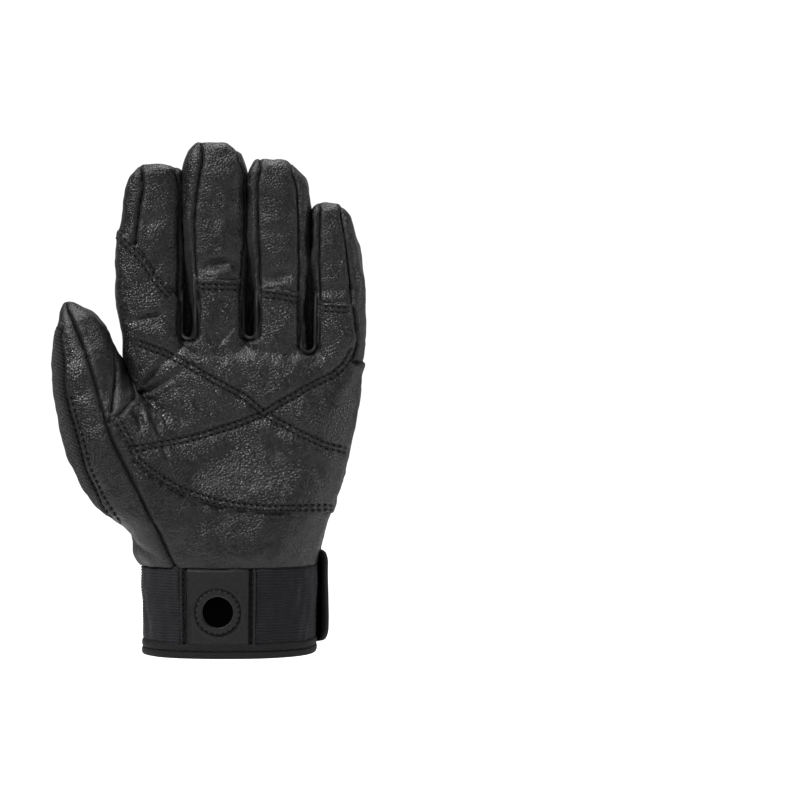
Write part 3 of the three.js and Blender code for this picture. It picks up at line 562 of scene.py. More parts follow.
def tipBack(finger):
    top = finger["rows"][-1]
    return top[4] * finger["depth"] - curlForward(fingerUp(finger, 1)) - 1.6


def above(points, height):
    return [tuple(p) for p in points if p[1] > height]


def acrossAt(points, height):
    order = np.argsort(points[:, 1])
    return float(np.interp(height, points[order, 1], points[order, 0]))


def crotchOutline(name, nextName):
    left, right = seams[name]["right"], seams[nextName]["left"]
    low = palmUp(min(fingers[name]["crotch"], fingers[nextName]["crotch"]))
    leftLow, rightLow = acrossAt(left, low), acrossAt(right, low)
    middle, radius = (leftLow + rightLow) / 2, (rightLow - leftLow) / 2
    bottom = low - 2.4 + radius
    turns = np.linspace(math.pi, 2 * math.pi, 13)
    rounded = [(middle + radius * math.cos(t), bottom + radius * math.sin(t)) for t in turns]
    rightUp, leftUp = above(right, bottom + 2), above(left, bottom + 2)
    return rounded + rightUp + [(rightUp[-1][0], fingerTop), (leftUp[-1][0], fingerTop)] + leftUp[::-1]


edgeOf = {name: line[name + "Edge"] for name in fingerNames}


def heightAt(points, across):
    return float(np.interp(across, points[:, 0], points[:, 1]))


def crossing(seam, edge):
    for height in np.arange(seam[-1][1], seam[0][1], -0.1):
        if height <= heightAt(edge, acrossAt(seam, height)):
            return (acrossAt(seam, height), float(height))
    return tuple(seam[0])


def between(points, left, right):
    inner = [tuple(p) for p in points if left + 0.3 < p[0] < right - 0.3]
    return [(left, heightAt(points, left))] + inner + [(right, heightAt(points, right))]


cells = []
for name in fingerNames:
    left, right = seams[name]["left"], seams[name]["right"]
    low = (crossing(left, edgeOf[name]), crossing(right, edgeOf[name]))
    outline = between(edgeOf[name], low[0][0], low[1][0])
    outline += above(right, low[1][1] + 0.5) + above(left, low[0][1] + 0.5)[::-1]
    cells.append((name + "_front", outline, -far, tipBack(fingers[name])))
    outline = [(acrossAt(left, knuckles), knuckles), (acrossAt(right, knuckles), knuckles)]
    outline += above(right, knuckles + 0.5) + above(left, knuckles + 0.5)[::-1]
    cells.append((name + "_back", outline, tipBack(fingers[name]), far))
for name, nextName in zip(fingerNames, fingerNames[1:]):
    cells.append(("fourchette_" + name + "_" + nextName, crotchOutline(name, nextName), -far, far))
indexSeam, littleSeam = seams["index"]["left"], seams["little"]["right"]
indexCut = crossing(indexSeam, line["indexEdge"])
indexFoot = (palmAcross(-0.53), palmUp(1.52))
cells.append(("index_side", [
    (-far, indexFoot[1] + 30), indexFoot,
    *[tuple(p) for p in line["indexEdge"] if p[0] < indexCut[0] - 0.3], indexCut,
    *above(indexSeam, indexCut[1] + 0.5), (indexSeam[-1][0], fingerTop), (-far, fingerTop),
], -far, far))
littleLow = palmUp(0.88)
cells.append(("little_side", [
    (far, littleLow), (littleSeam[0][0] - 2, littleLow), *map(tuple, littleSeam),
    (littleSeam[-1][0], fingerTop), (far, fingerTop),
], -far, far))

thumbSplit, palmSplit = -glove["thumbDepth"] * 0.2, glove["palmDepth"] * 0.1
main = line["thumbMain"][::-1]
knit = line["thumbKnit"][::-1]
pad = line["thumbPad"][::-1]
padFoot = (acrossAt(main, 107.5), 107.5)
crotchShares = [(-0.454, 0.66), (-0.395, 0.731), (-0.412, 0.784), (-0.431, 0.854), (-0.458, 0.945)]
crotchEdge = [(palmAcross(a), palmUp(u)) for a, u in crotchShares]
beside, aboveThumb, belowWrist = palmAcross(-0.6), palmUp(1.3), 20.0
cells.append(("thumb_outer", [
    (beside, belowWrist), (main[0][0], belowWrist), *map(tuple, main), *above(knit, palmUp(0.16))[::-1],
    (-60.5, palmUp(0.14)), (beside, palmUp(0.14)),
], -far, thumbSplit))
cells.append(("thumb_outer", [
    (-far, thumbTop), (acrossAt(main, thumbTop), thumbTop), *above(main, thumbTop + 0.5),
    (main[-1][0], aboveThumb), (-far, aboveThumb),
], -far, far))
cells.append(("thumb_front", [
    *above(main, padFoot[1] + 0.5)[::-1], padFoot, *above(pad, padFoot[1] + 1.5), (palmAcross(-0.49), thumbTop),
], -far, thumbSplit))
cells.append(("thumb_front", [
    (acrossAt(main, thumbTop), thumbTop), (palmAcross(-0.49), thumbTop), (palmAcross(-0.49), aboveThumb),
    (main[-1][0], aboveThumb), *above(main, thumbTop + 0.5)[::-1],
], -far, far))
cells.append(("thumb_web", [
    padFoot, *crotchEdge, *[p for p in above(pad, padFoot[1] + 1.5) if p[1] < thumbTop][::-1],
], -far, thumbSplit))
arc = line["patchArc"]
arcEnd = float(arc[-1][1])
cells.append(("palm_patch", [
    padFoot, *map(tuple, arc[1:]), (far, arcEnd), (far, fingerTop), (beside, fingerTop), (beside, aboveThumb),
    *crotchEdge[::-1],
], -far, palmSplit))
cells.append(("palm_patch", [
    *crotchEdge[-2:][::-1], (indexSeam[0][0], crotchEdge[-2][1]),
    *[tuple(p) for p in indexSeam if p[1] < indexCut[1] - 0.5], indexCut,
    (palmAcross(-0.454), palmUp(1.448)), indexFoot, (beside, indexFoot[1] + 10), (beside, aboveThumb),
], -far, far))
cells.append(("palm_heel", [
    (main[0][0], belowWrist), (far, belowWrist), (far, arcEnd), *map(tuple, arc[1:][::-1]), padFoot,
    *[tuple(p) for p in main if p[1] < padFoot[1] - 0.5][::-1],
], -far, palmSplit))
nodeNames = list(dict.fromkeys(name for name, *_ in cells)) + ["back_panel"]


def insideOf(outline, seen):
    x, z = seen[:, 0], seen[:, 1]
    result = np.zeros(len(x), bool)
    before = outline[-1]
    for here in outline:
        rises = (here[1] > z) != (before[1] > z)
        run = (before[0] - here[0]) * (z - here[1]) / (before[1] - here[1] + 1e-12) + here[0]
        result ^= rises & (x < run)
        before = here
    return result


def panelOf(points):
    seen = seenFrom(points)
    found = np.full(len(points), nodeNames.index("back_panel"))
    for name, outline, front, back in reversed(cells):
        held = insideOf(outline, seen) & (points[:, 1] > front) & (points[:, 1] < back)
        found[held] = nodeNames.index(name)
    return found


# Distance from a line as seen, and how far along the line the nearest point is
def awayFrom(points, seen, reach=14.0):
    near = np.full(len(seen), 1e3)
    along = np.zeros(len(seen))
    nearest = np.zeros((len(seen), 2))
    low, high = points.min(0) - reach, points.max(0) + reach
    close = np.nonzero(((seen > low) & (seen < high)).all(1))[0]
    local = seen[close]
    best = np.full(len(close), 1e3)
    run = 0.0
    for a, b in zip(points[:-1], points[1:]):
        step = b - a
        length = max(float(np.linalg.norm(step)), 1e-6)
        t = np.clip(((local - a) @ step) / length**2, 0, 1)
        foot = a + t[:, None] * step
        distance = np.linalg.norm(local - foot, axis=1)
        better = distance < best
        best = np.where(better, distance, best)
        along[close] = np.where(better, run + t * length, along[close])
        nearest[close] = np.where(better[:, None], foot, nearest[close])
        run += length
    near[close] = best
    return near, along, run, nearest


def bell(distance, wide):
    return np.exp(-((distance / wide) ** 2))


print("hand: laying out the panels")
facePanel = panelOf(skin[skinFaces].mean(1))


# Edges of the skin that lie between two panels
def seamEdgesOf():
    pairs = np.sort(np.stack([skinFaces, np.roll(skinFaces, -1, axis=1)], -1).reshape(-1, 2), axis=1)
    panels = np.repeat(facePanel, 4)
    order = np.lexsort((pairs[:, 1], pairs[:, 0]))
    pairs, panels = pairs[order], panels[order]
    parted = (pairs[1:] == pairs[:-1]).all(1) & (panels[1:] != panels[:-1])
    return pairs[1:][parted]


seamEdges = seamEdgesOf()
ends = np.bincount(seamEdges.ravel(), minlength=len(skin))
border = np.nonzero(ends)[0]
plain = np.nonzero(ends == 2)[0]


def alongSkin(moves, at):
    return moves - (moves * normals[at]).sum(1, keepdims=True) * normals[at]


def straightenSeams(rounds):
    for _ in range(rounds):
        total = np.stack([
            np.bincount(seamEdges[:, 0], skin[seamEdges[:, 1], axis], len(skin))
            + np.bincount(seamEdges[:, 1], skin[seamEdges[:, 0], axis], len(skin)) for axis in range(3)
        ], -1)[plain]
        skin[plain] += alongSkin(0.5 * (total / 2 - skin[plain]), plain)


normals = normalsOf(skin, skinFaces)
straightenSeams(8)

# Points on a border move onto the seam as it is seen, along the skin, so that no edge is stepped
borderSeen = seenFrom(skin[border])
nearest, target = np.full(len(border), 1e3), borderSeen.copy()
for _, outline, _, _ in cells:
    closed = np.array([*outline, outline[0]])
    distance, _, _, foot = awayFrom(closed, borderSeen, 3)
    better = distance < nearest
    nearest[better], target[better] = distance[better], foot[better]
lookAlong = normals[border, 1]
snapped = (nearest < 1.0) & (lookAlong < -0.4)
seenMove = np.zeros((len(border), 3))
seenMove[:, [0, 2]] = (target - borderSeen) * (1 + skin[border, 1] / eye["away"])[:, None]
seenMove[:, 1] = -(seenMove * normals[border]).sum(1) / np.where(snapped, lookAlong, 1)
skin[border[snapped]] += seenMove[snapped]
plain = np.setdiff1d(plain, border[snapped])
straightenSeams(6)
free = np.ones(len(skin), bool)
free[border] = False
for _ in range(2):
    eased = smoothed(skin, skinEdges, 1, 0.5)
    skin[free] += alongSkin((eased - skin)[free], free)

normals = normalsOf(skin, skinFaces)
eyePoint = np.array([eye["across"], -eye["away"], eye["up"]])
toEye = eyePoint - skin
facing = (normals * toEye).sum(1) / np.linalg.norm(toEye, axis=1)
front = smoothStep(facing, -0.05, 0.25)
seen = seenFrom(skin)
patchNumber = nodeNames.index("palm_patch")
panelHere = panelOf(skin)
onPatch = panelHere == patchNumber

edgeAway = np.full(len(skin), 1e3)
for points in (line["patchArc"], *edgeOf.values()):
    edgeAway = np.minimum(edgeAway, awayFrom(points, seen)[0])
edgeAway = np.where(front > 0, edgeAway, 1e3)

turned = border[edgeAway[border] > 1.2]
turnedEdges = seamEdges[(edgeAway[seamEdges] > 1.2).all(1)]
seamPoints = np.concatenate([skin[turned], skin[turnedEdges].mean(1)])
seamTree = KDTree(len(seamPoints))
for i, point in enumerate(seamPoints):
    seamTree.insert(point, i)
seamTree.balance()
seamAway = np.array([seamTree.find(point)[2] for point in skin])
frontPanels = [nodeNames.index(name + "_front") for name in (*fingerNames, "thumb")]
overlapping = np.isin(panelHere, frontPanels)

openShare = 0.25 + 0.75 * smoothStep(np.abs(facing), 0.15, 0.6)
relief = -skinShape["seamDeep"] * openShare * bell(seamAway, skinShape["seamWide"])
relief += skinShape["seamPuff"] * openShare * bell(seamAway - skinShape["puffAway"], skinShape["puffWide"])
fromDome = (1 - np.clip(seamAway / skinShape["domeWide"], 0, 1)) ** 2
relief -= smoothStep(facing, 0.35, 0.85) * skinShape["dome"] * fromDome
overlap = bell(seamAway - skinShape["overlapAway"], skinShape["overlapWide"])
relief += skinShape["overlapRise"] * openShare * overlapping * overlap
raised = smoothed(onPatch.astype(float)[:, None], skinEdges, 2)[:, 0]
relief += skinShape["patchRise"] * raised
edgeIn = bell(edgeAway - skinShape["edgeInside"], skinShape["edgeWide"])
edgeOut = bell(edgeAway - skinShape["edgeOutside"], skinShape["edgeWide"])
relief += front * onPatch * skinShape["edgeRise"] * edgeIn
relief -= front * ~onPatch * skinShape["edgeDeep"] * edgeOut

# Stitched rows: line, how far the middle of its pair of rows lies from it, whether it is a sunk channel
rows = [
    ("quiltFalling", 0.0, True), ("quiltRising", 0.0, True), ("patchArc", 2.4, False), ("indexEdge", -2.4, False),
    ("middleEdge", -3.5, False), ("ringEdge", -3.2, False), ("littleEdge", -2.9, False), ("thumbKnit", 1.8, False),
]
stitchSide = np.full(len(skin), 20.0)
stitchAlong = np.zeros(len(skin))


# Signed distance: positive to the left of the line's run
def sideOf(points, seen):
    distance, along, _, foot = awayFrom(points, seen)
    k = np.clip(np.searchsorted(runsOf(points), along) - 1, 0, len(points) - 2)
    step = points[k + 1] - points[k]
    offset = seen - foot
    return np.sign(step[:, 0] * offset[:, 1] - step[:, 1] * offset[:, 0]) * distance, along


def runsOf(points):
    return np.concatenate([[0], np.cumsum(np.linalg.norm(np.diff(points, axis=0), axis=1))])


for name, middle, sunk in rows:
    side, along = sideOf(line[name], seen)
    allowed = front * (onPatch if name != "thumbKnit" else 1) * (np.abs(side) < 12)
    if sunk:
        relief -= allowed * skinShape["quiltDeep"] * bell(side, skinShape["quiltWide"])
        swell = bell(np.abs(side) - skinShape["quiltAway"], skinShape["quiltRiseWide"])
        relief += allowed * skinShape["quiltRise"] * swell
    side = side - middle
    sunkRow = bell(np.abs(side) - skinShape["rowsApart"] / 2, skinShape["rowWide"])
    relief -= allowed * skinShape["rowDeep"] * sunkRow
    nearer = (np.abs(side) < np.abs(stitchSide)) & (allowed > 0.3)
    stitchSide = np.where(nearer, side, stitchSide)
    stitchAlong = np.where(nearer, along, stitchAlong)

# Painted shade on the skin: first a dark line just outside the patch's rolled edge
paintedShadeOnSkin = 0.9 * front * ~onPatch * np.clip(1.2 - edgeAway / 0.9, 0, 1)
# Wide folds fade over half of their length at each end, sharp ones start at once
softFold = {"fadeFrom": 0.0, "fadeTo": 0.5, "strength": 1.5, "swell": 0.25}
sharpFold = {"fadeFrom": -0.2, "fadeTo": 0.35, "strength": 1.1, "swell": 0.45}
for points, wide, deep in folds:
    distance, along, run, _ = awayFrom(np.array(points), seen)
    kind = softFold if wide > 2 else sharpFold
    fade = (kind["fadeFrom"] * run, kind["fadeTo"] * run)
    taper = smoothStep(along, *fade) * smoothStep(run - along, *fade)
    strength = front * taper * deep * kind["strength"]
    relief -= strength * bell(distance, wide)
    relief += kind["swell"] * strength * bell(distance - 2.1 * wide, wide)
    # Painted shade in the hollow of each fold
    paintedShadeOnSkin = np.maximum(paintedShadeOnSkin, 0.6 * strength * bell(distance, 0.7 * wide))

# The hollow slots between the fingers, inside their rolled lips, with painted shade inside them
pushedBack = np.zeros(len(skin))
lipPaths = []
for name, nextName in zip(fingerNames, fingerNames[1:]):
    outline = np.array(crotchOutline(name, nextName))
    low, centre = outline[:13, 1].min(), outline[6, 0]
    arms = outline[13:]
    right = [p for p in arms if p[0] >= centre and p[1] < low + 40]
    left = [p for p in arms if p[0] < centre and p[1] < low + 40]
    loop = np.array(left + list(outline[:13]) + right)
    distance = awayFrom(loop, seen)[0]
    held = insideOf([tuple(p) for p in outline], seen)
    slot = slots[fingerNames.index(name)]
    aside = np.abs(seen[:, 0] - np.interp(seen[:, 1], slot["heights"], slot["across"]))
    inside = held * (1 - smoothStep(aside, 1.5, 3.0)) * smoothStep(-skin[:, 1], 2, 12)
    inside = inside * smoothStep(distance, 0.3, 1.5)
    pushedBack += skinShape["slotDeep"] * inside * smoothStep(low + 46 - skin[:, 2], 0, 26)
    # Painted shade, near black, deep in each slot
    paintedShadeOnSkin = np.maximum(paintedShadeOnSkin, np.minimum(1, 1.4 * inside * smoothStep(low + 66 - skin[:, 2], 0, 20)))
    relief += held * 1.15 * bell(skin[:, 1], 9)
    lipPaths.append((name + nextName.capitalize(), loop))


# A smooth random field from waves in random directions
def waves(points, length, seed, count=26):
    draw = np.random.default_rng(seed)
    total = np.zeros(len(points))
    for _ in range(count):
        way = draw.normal(size=3)
        way /= np.linalg.norm(way)
        stretch = 2 * math.pi / (length * draw.uniform(0.7, 1.4))
        total += np.sin(points @ way * stretch + draw.uniform(0, 6.283))
    return total / math.sqrt(count)


# Random waves of the leather: height and length in millimetres, seed
leatherWaves = [(0.38, 16, 3), (0.12, 6.5, 4), (0.03, 3, 5)]
relief += sum(high * waves(skin, length, seed) for high, length, seed in leatherWaves)
relief += 0.1 * waves(skin, 3.4, 8) * bell(seamAway - 1.2, 1.6)
relief += 2.0 * bell(skin[:, 2] - glove["wrist"] - 5, 5) * smoothStep(-skin[:, 0], 22, 42)
wristPull = bell(skin[:, 2] - glove["wrist"], 5)
relief += wristPull * (0.35 + 0.35 * waves(skin * [1, 1, 0.3], 9, 6))
skin = skin + normals * relief[:, None]
skin[:, 1] += pushedBack
print("hand: relief from", round(float(relief.min()), 2), "to", round(float(relief.max()), 2), "mm")


def giveAttribute(piece, name, values):
    attribute = piece.data.attributes.new(name, "FLOAT", "POINT")
    attribute.data.foreach_set("value", np.asarray(values, np.float32))


def pieceName(nodeName):
    first, *others = nodeName.split("_")
    return first + "".join(word.capitalize() for word in others)


pieces = {}


def finished(piece, nodeName):
    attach(piece, "root")
    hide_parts(nodeName)
    pieces[nodeName] = piece


for number, name in enumerate(nodeNames):
    faces = skinFaces[facePanel == number]
    used, compact = np.unique(faces, return_inverse=True)
    compact = compact.reshape(-1, 4)
    piece = newObject(pieceName(name), skin[used], compact.tolist())
    giveAttribute(piece, "stitchSide", stitchSide[used])
    giveAttribute(piece, "stitchAlong", stitchAlong[used])
    # Painted shade along the seams: dark in the seam itself and a wide soft darkening beside it, stored with the
    # other painted shade
    paintedShadeInSeam = np.clip(1.15 - seamAway[used] / skinShape["seamWide"], 0, 1)
    paintedShadeNearSeam = skinShape["seamShade"] * np.clip(1 - seamAway[used] / skinShape["seamShadeWide"], 0, 1) ** 1.5
    paintedSeamShade = np.maximum(paintedShadeInSeam, paintedShadeNearSeam)
    giveAttribute(piece, "crease", np.maximum(paintedShadeOnSkin[used], paintedSeamShade))
    chooseOnly(piece)
    if skin[used, 2].min() < glove["wrist"]:
        bpy.ops.object.mode_set(mode="EDIT")
        bpy.ops.mesh.select_all(action="SELECT")
        wrist = (0, 0, glove["wrist"] * mm)
        bpy.ops.mesh.bisect(plane_co=wrist, plane_no=(0, 0, 1), clear_inner=True, use_fill=False)
        bpy.ops.object.mode_set(mode="OBJECT")
    wall = piece.modifiers.new("wall", "SOLIDIFY")
    wall.thickness = glove["leather"] * mm
    wall.offset = -1
    bpy.ops.object.modifier_apply(modifier="wall")
    bpy.ops.object.shade_smooth()
    finished(piece, name)
print("hand:", len(pieces), "panels,", sum(len(p.data.polygons) for p in pieces.values()), "faces")

# What lies on the skin is placed by looking from the eye through its place as seen
skinTree = BVHTree.FromPolygons(skin.tolist(), skinFaces.tolist())


def onSkin(place, tree):
    way = Vector((place[0], 0, place[1])) - Vector(eyePoint)
    hit, normal, _, _ = tree.ray_cast(Vector(eyePoint), way.normalized())
    return (None, None) if hit is None else (np.array(hit), np.array(normal))


def placesAlong(points, offset, apart, first=0.0):
    runs = runsOf(points)
    at = np.arange(first, runs[-1], apart)
    here = np.stack([np.interp(at, runs, points[:, axis]) for axis in (0, 1)], -1)
    after = np.stack([np.interp(at + 0.3, runs, points[:, axis]) for axis in (0, 1)], -1)
    before = np.stack([np.interp(at - 0.3, runs, points[:, axis]) for axis in (0, 1)], -1)
    step = after - before
    step /= np.maximum(np.linalg.norm(step, axis=1, keepdims=True), 1e-9)
    return here + offset * np.stack([-step[:, 1], step[:, 0]], -1)


# A tube through points, with its own radius at each of them and closed ends
def tubeMesh(points, radii, sides):
    points = np.asarray(points, float)
    way = np.gradient(points, axis=0)
    way /= np.maximum(np.linalg.norm(way, axis=1, keepdims=True), 1e-9)
    aside = np.cross(way, [0.0, 1.0, 0.0])
    weak = np.linalg.norm(aside, axis=1) < 0.2
    aside[weak] = np.cross(way[weak], [1.0, 0.0, 0.0])
    aside /= np.linalg.norm(aside, axis=1, keepdims=True)
    up = np.cross(aside, way)
    turn = np.linspace(0, 2 * math.pi, sides, endpoint=False)
    ring = np.cos(turn)[None, :, None] * aside[:, None] + np.sin(turn)[None, :, None] * up[:, None]
    return loftMesh(points[:, None] + ring * np.asarray(radii)[:, None, None])


def cleaned(piece, weld=None):
    chooseOnly(piece)
    bpy.ops.object.mode_set(mode="EDIT")
    bpy.ops.mesh.select_all(action="SELECT")
    if weld:
        bpy.ops.mesh.remove_doubles(threshold=weld)
    bpy.ops.mesh.normals_make_consistent(inside=False)
    bpy.ops.object.mode_set(mode="OBJECT")
    bpy.ops.object.shade_smooth()


def joined(name, parts):
    points, faces, count = [], [], 0
    for ownPoints, ownFaces in parts:
        points.append(ownPoints)
        faces += [[i + count for i in face] for face in ownFaces]
        count += len(ownPoints)
    piece = newObject(name, np.concatenate(points), faces)
    cleaned(piece)
    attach(piece, "root")
    return piece


# Rolled lips round the slots
lip = {"radius": 1.08, "endRadius": 0.8, "inward": 1.1, "sunk": 0.75, "endSunk": 3.6, "apart": 0.7}
extras = {}
for name, loop in lipPaths:
    places = placesAlong(loop, lip["inward"], lip["apart"])
    outside = placesAlong(loop, -0.5, lip["apart"])
    hits = [onSkin(place, skinTree)[0] for place in outside]
    held = [i for i, hit in enumerate(hits) if hit is not None]
    depth = np.interp(np.arange(len(places)), held, [hits[i][1] for i in held])
    depth = np.convolve(np.pad(depth, 6, mode="edge"), np.ones(13) / 13, mode="valid")
    ending = smoothStep(np.abs(np.linspace(-1, 1, len(places))), 0.4, 1.0)
    depth = depth + lip["sunk"] + lip["endSunk"] * ending
    scale = 1 + depth / eye["away"]
    path = np.stack([eye["across"] + (places[:, 0] - eye["across"]) * scale, depth,
                     eye["up"] + (places[:, 1] - eye["up"]) * scale], -1)
    radii = lip["radius"] + (lip["endRadius"] - lip["radius"]) * ending
    extras[name + "Lip"] = joined(name + "Lip", [tubeMesh(path, radii, 12)])
print("hand:", len(extras), "rolled lips")


# Threads: short stitches that dive into the leather at both ends
thread = {"long": 1.4, "thick": 0.56, "sunk": 0.14}


def stitchOn(place, nextPlace, thick, tree):
    a, normalA = onSkin(place, tree)
    b, normalB = onSkin(nextPlace, tree)
    if a is None or b is None or np.linalg.norm(a - b) > 4:
        return None
    normal = (normalA + normalB) / 2
    shares = np.array([0.0, 0.2, 0.5, 0.8, 1.0])
    lift = np.array([-0.3, 0.05, 0.12, 0.05, -0.3]) - thread["sunk"]
    path = a + (b - a) * shares[:, None] + normal * lift[:, None]
    return tubeMesh(path, thick * np.array([0.7, 1, 1, 1, 0.7]), 6)


def stitchesAlong(points, offset, tree, inside=None):
    pitch = skinShape["stitchPitch"]
    starts = placesAlong(points, offset, pitch, 0.5)
    stops = placesAlong(points, offset, pitch, 0.5 + thread["long"])
    made = []
    for a, b in zip(starts, stops):
        if inside is None or inside(np.array([a]))[0]:
            stitch = stitchOn(a, b, thread["thick"], tree)
            if stitch:
                made.append(stitch)
    return made


def underPatch(places):
    hits = [onSkin(place, skinTree)[0] for place in places]
    return [hit is not None and nodeNames[panelOf(hit[None])[0]] == "palm_patch" for hit in hits]


half = skinShape["rowsApart"] / 2
palmStitches, thumbStitches = [], []
for name, middle, _ in rows:
    for offset in (middle - half, middle + half):
        if name == "thumbKnit":
            thumbStitches += stitchesAlong(line[name][3:], offset, skinTree)
        else:
            palmStitches += stitchesAlong(line[name], offset, skinTree, underPatch)
extras["palmThread"] = joined("palmThread", palmStitches)
extras["thumbThread"] = joined("thumbThread", thumbStitches)
print("hand:", len(palmStitches) + len(thumbStitches), "stitches")

# Cuff: sizes in millimetres
cuff = {
    "boxy": 2.5,
    "elasticWall": 2.0,
    "ribPitch": 1.35,
    "ribHigh": 0.2,
    "bindingHigh": 6.6,
    "bindingRise": 0.9,
    "bindingGroove": 0.7,
    "taper": 0.9,
    "tuck": 1.3,
    "tabWide": 29.0,
    "tabAcross": -2.8,
    "tabRise": 0.5,
    "tabSeamWide": 2.6,
    "tabSeamRise": 1.0,
    "holeRadius": 7.2,
    "holeUp": 21.6,
    "ringWide": 3.2,
    "ringRise": 1.0,
    "ringStitches": 24,
    "gap": 0.35,
    "strapHigh": 44.0,
    "strapThick": 3.0,
    "strapStandOff": 2.2,
    "strapUp": 3.5,
    "strapCorner": 7.0,
    "strapFront": -2.0,
    "strapReach": 27.0,
}


def cuffPoints(turn, grow, z, halfX=None, halfY=None, centreY=0.0):
    halfX = (halfX or glove["cuffWidth"] / 2) + grow
    halfY = (halfY or glove["cuffDepth"] / 2) + grow
    c, s = np.cos(turn), np.sin(turn)
    x = halfX * np.sign(c) * np.abs(c) ** (2 / cuff["boxy"])
    y = centreY + halfY * np.sign(s) * np.abs(s) ** (2 / cuff["boxy"])
    points = np.stack(np.broadcast_arrays(x, y, z), -1)
    points[..., 1] += dentAt(points) * np.maximum(0, (centreY - points[..., 1]) / halfY)
    return points


def frontTurn(across, grow):
    c = np.sign(across) * (np.abs(across) / (glove["cuffWidth"] / 2 + grow)) ** (cuff["boxy"] / 2)
    return 2 * math.pi - np.arccos(np.clip(c, -1, 1))


def turnsAcross(across, grow):
    return [frontTurn(np.array([a]), grow)[0] for a in across]


# Points of the cuff one by one, where each stands off by its own amount
def cuffRow(turns, grows, heights, *halves):
    each = zip(*np.broadcast_arrays(turns, grows, heights))
    return np.stack([cuffPoints(np.array([t]), g, z, *halves)[0] for t, g, z in each])


# A closed wall between an outer and an inner grid of points, rows by columns; the outer faces take painted shade
# where given, the inner faces are painted as full shade
def closedWall(name, outer, inner, around, paintedShadeOutside=0.0):
    rows, columns = outer.shape[:2]
    points = np.concatenate([outer.reshape(-1, 3), inner.reshape(-1, 3)])
    last = columns if around else columns - 1
    i = np.arange(rows - 1)[:, None]
    j = np.arange(last)[None, :]
    n = (j + 1) % columns
    corners = (i * columns + j, i * columns + n, (i + 1) * columns + n, (i + 1) * columns + j)
    outerFaces = np.stack(np.broadcast_arrays(*corners), -1).reshape(-1, 4)
    shift = rows * columns
    faces = outerFaces.tolist() + (outerFaces[:, ::-1] + shift).tolist()
    top = (rows - 1) * columns
    for k in range(last):
        m = (k + 1) % columns
        faces.append([m, k, k + shift, m + shift])
        faces.append([top + k, top + m, top + m + shift, top + k + shift])
    if not around:
        for r in range(rows - 1):
            a, b = r * columns, (r + 1) * columns
            faces.append([a, b, b + shift, a + shift])
            a, b = a + columns - 1, b + columns - 1
            faces.append([b, a, a + shift, b + shift])
    piece = newObject(name, points, faces)
    outerPaintedShade = (np.zeros((rows, columns)) + paintedShadeOutside).ravel()
    # Painted shade: the given amounts outside, full painted shade on the inner faces
    giveAttribute(piece, "crease", np.concatenate([outerPaintedShade, np.ones(shift)]))
    piece.data.materials.append(None)
    piece.data.materials.append(None)
    inward = np.array([min(face) >= shift for face in faces], np.int32)
    piece.data.polygons.foreach_set("material_index", inward)
    cleaned(piece, weld=0.00001)
    return piece


print("cuff: elastic, tab, ring, hem and strap")
gap = cuff["gap"]
bandLow = cuff["bindingHigh"] - 0.7
bandTop = glove["cuffHeight"] + 0.9


# The cuff narrows a little towards the hem and tucks in under the leather at the wrist
def cuffEase(z):
    return -cuff["taper"] * smoothStep(36 - z, 0, 22) - cuff["tuck"] * smoothStep(z, bandTop - 2.2, bandTop)


tabLeft = cuff["tabAcross"] - cuff["tabWide"] / 2
tabRight = cuff["tabAcross"] + cuff["tabWide"] / 2
seamLeft = tabLeft - gap - cuff["tabSeamWide"]
seamRight = tabRight + gap + cuff["tabSeamWide"]
start = frontTurn(seamRight + gap, 0) - 2 * math.pi
end = frontTurn(seamLeft - gap, 0)
turns = np.linspace(start, end, 340)
heights = np.linspace(bandLow, bandTop, 104)
grid = cuffPoints(turns[None, :], 0.0, heights[:, None])
outward = cuffPoints(turns[None, :], 1.0, heights[:, None]) - grid
rib = cuff["ribHigh"] * np.sin(2 * math.pi * (heights - bandLow) / cuff["ribPitch"])[:, None]
flatGrid = grid.reshape(-1, 3)
# Fine upright puckers of the elastic, and broader ones
pucker = 0.22 * waves(flatGrid * [1, 1, 0.25], 5, 21) + 0.25 * waves(flatGrid, 16, 22)
pucker = pucker.reshape(grid.shape[:2])
pinch = cuffEase(heights)[:, None] - 0.3 * bell(heights - bandLow, 1.5)[:, None]
outer = grid + outward * (rib + pucker + pinch)[..., None]
inner = cuffPoints(turns[None, :], -cuff["elasticWall"], heights[:, None])
finished(closedWall("cuffElastic", outer, inner, False), "cuff_elastic")

# Relief of the tab in millimetres: its stuffed border, the row beside it and the swell round the ring
tabRelief = {
    "sunk": 0.35,
    "puff": 0.25,
    "puffWide": 2.2,
    "swell": 0.12,
    "swellAway": 3.2,
    "swellWide": 1.2,
    "rowDeep": 0.3,
    "rowAway": 1.3,
    "rowWide": 0.45,
    "holeDip": 0.5,
    "holeDipWide": 0.4,
    "wave": 0.1,
    "waveLength": 9,
}

# Tab: a grid of rings from the hole's edge out to the tab's border
turns = np.linspace(0, 2 * math.pi, 160, endpoint=False)
c, s = np.cos(turns), np.sin(turns)
halfUp = np.where(s > 0, bandTop - cuff["holeUp"], cuff["holeUp"] - bandLow)
reachAcross = cuff["tabWide"] / 2 / np.maximum(np.abs(c), 1e-6)
reach = np.minimum(reachAcross, halfUp / np.maximum(np.abs(s), 1e-6))


def tabPoints(radius, grow):
    across = cuff["tabAcross"] + radius * c
    up = cuff["holeUp"] + radius * s
    return cuffPoints(frontTurn(across, grow), grow, up)


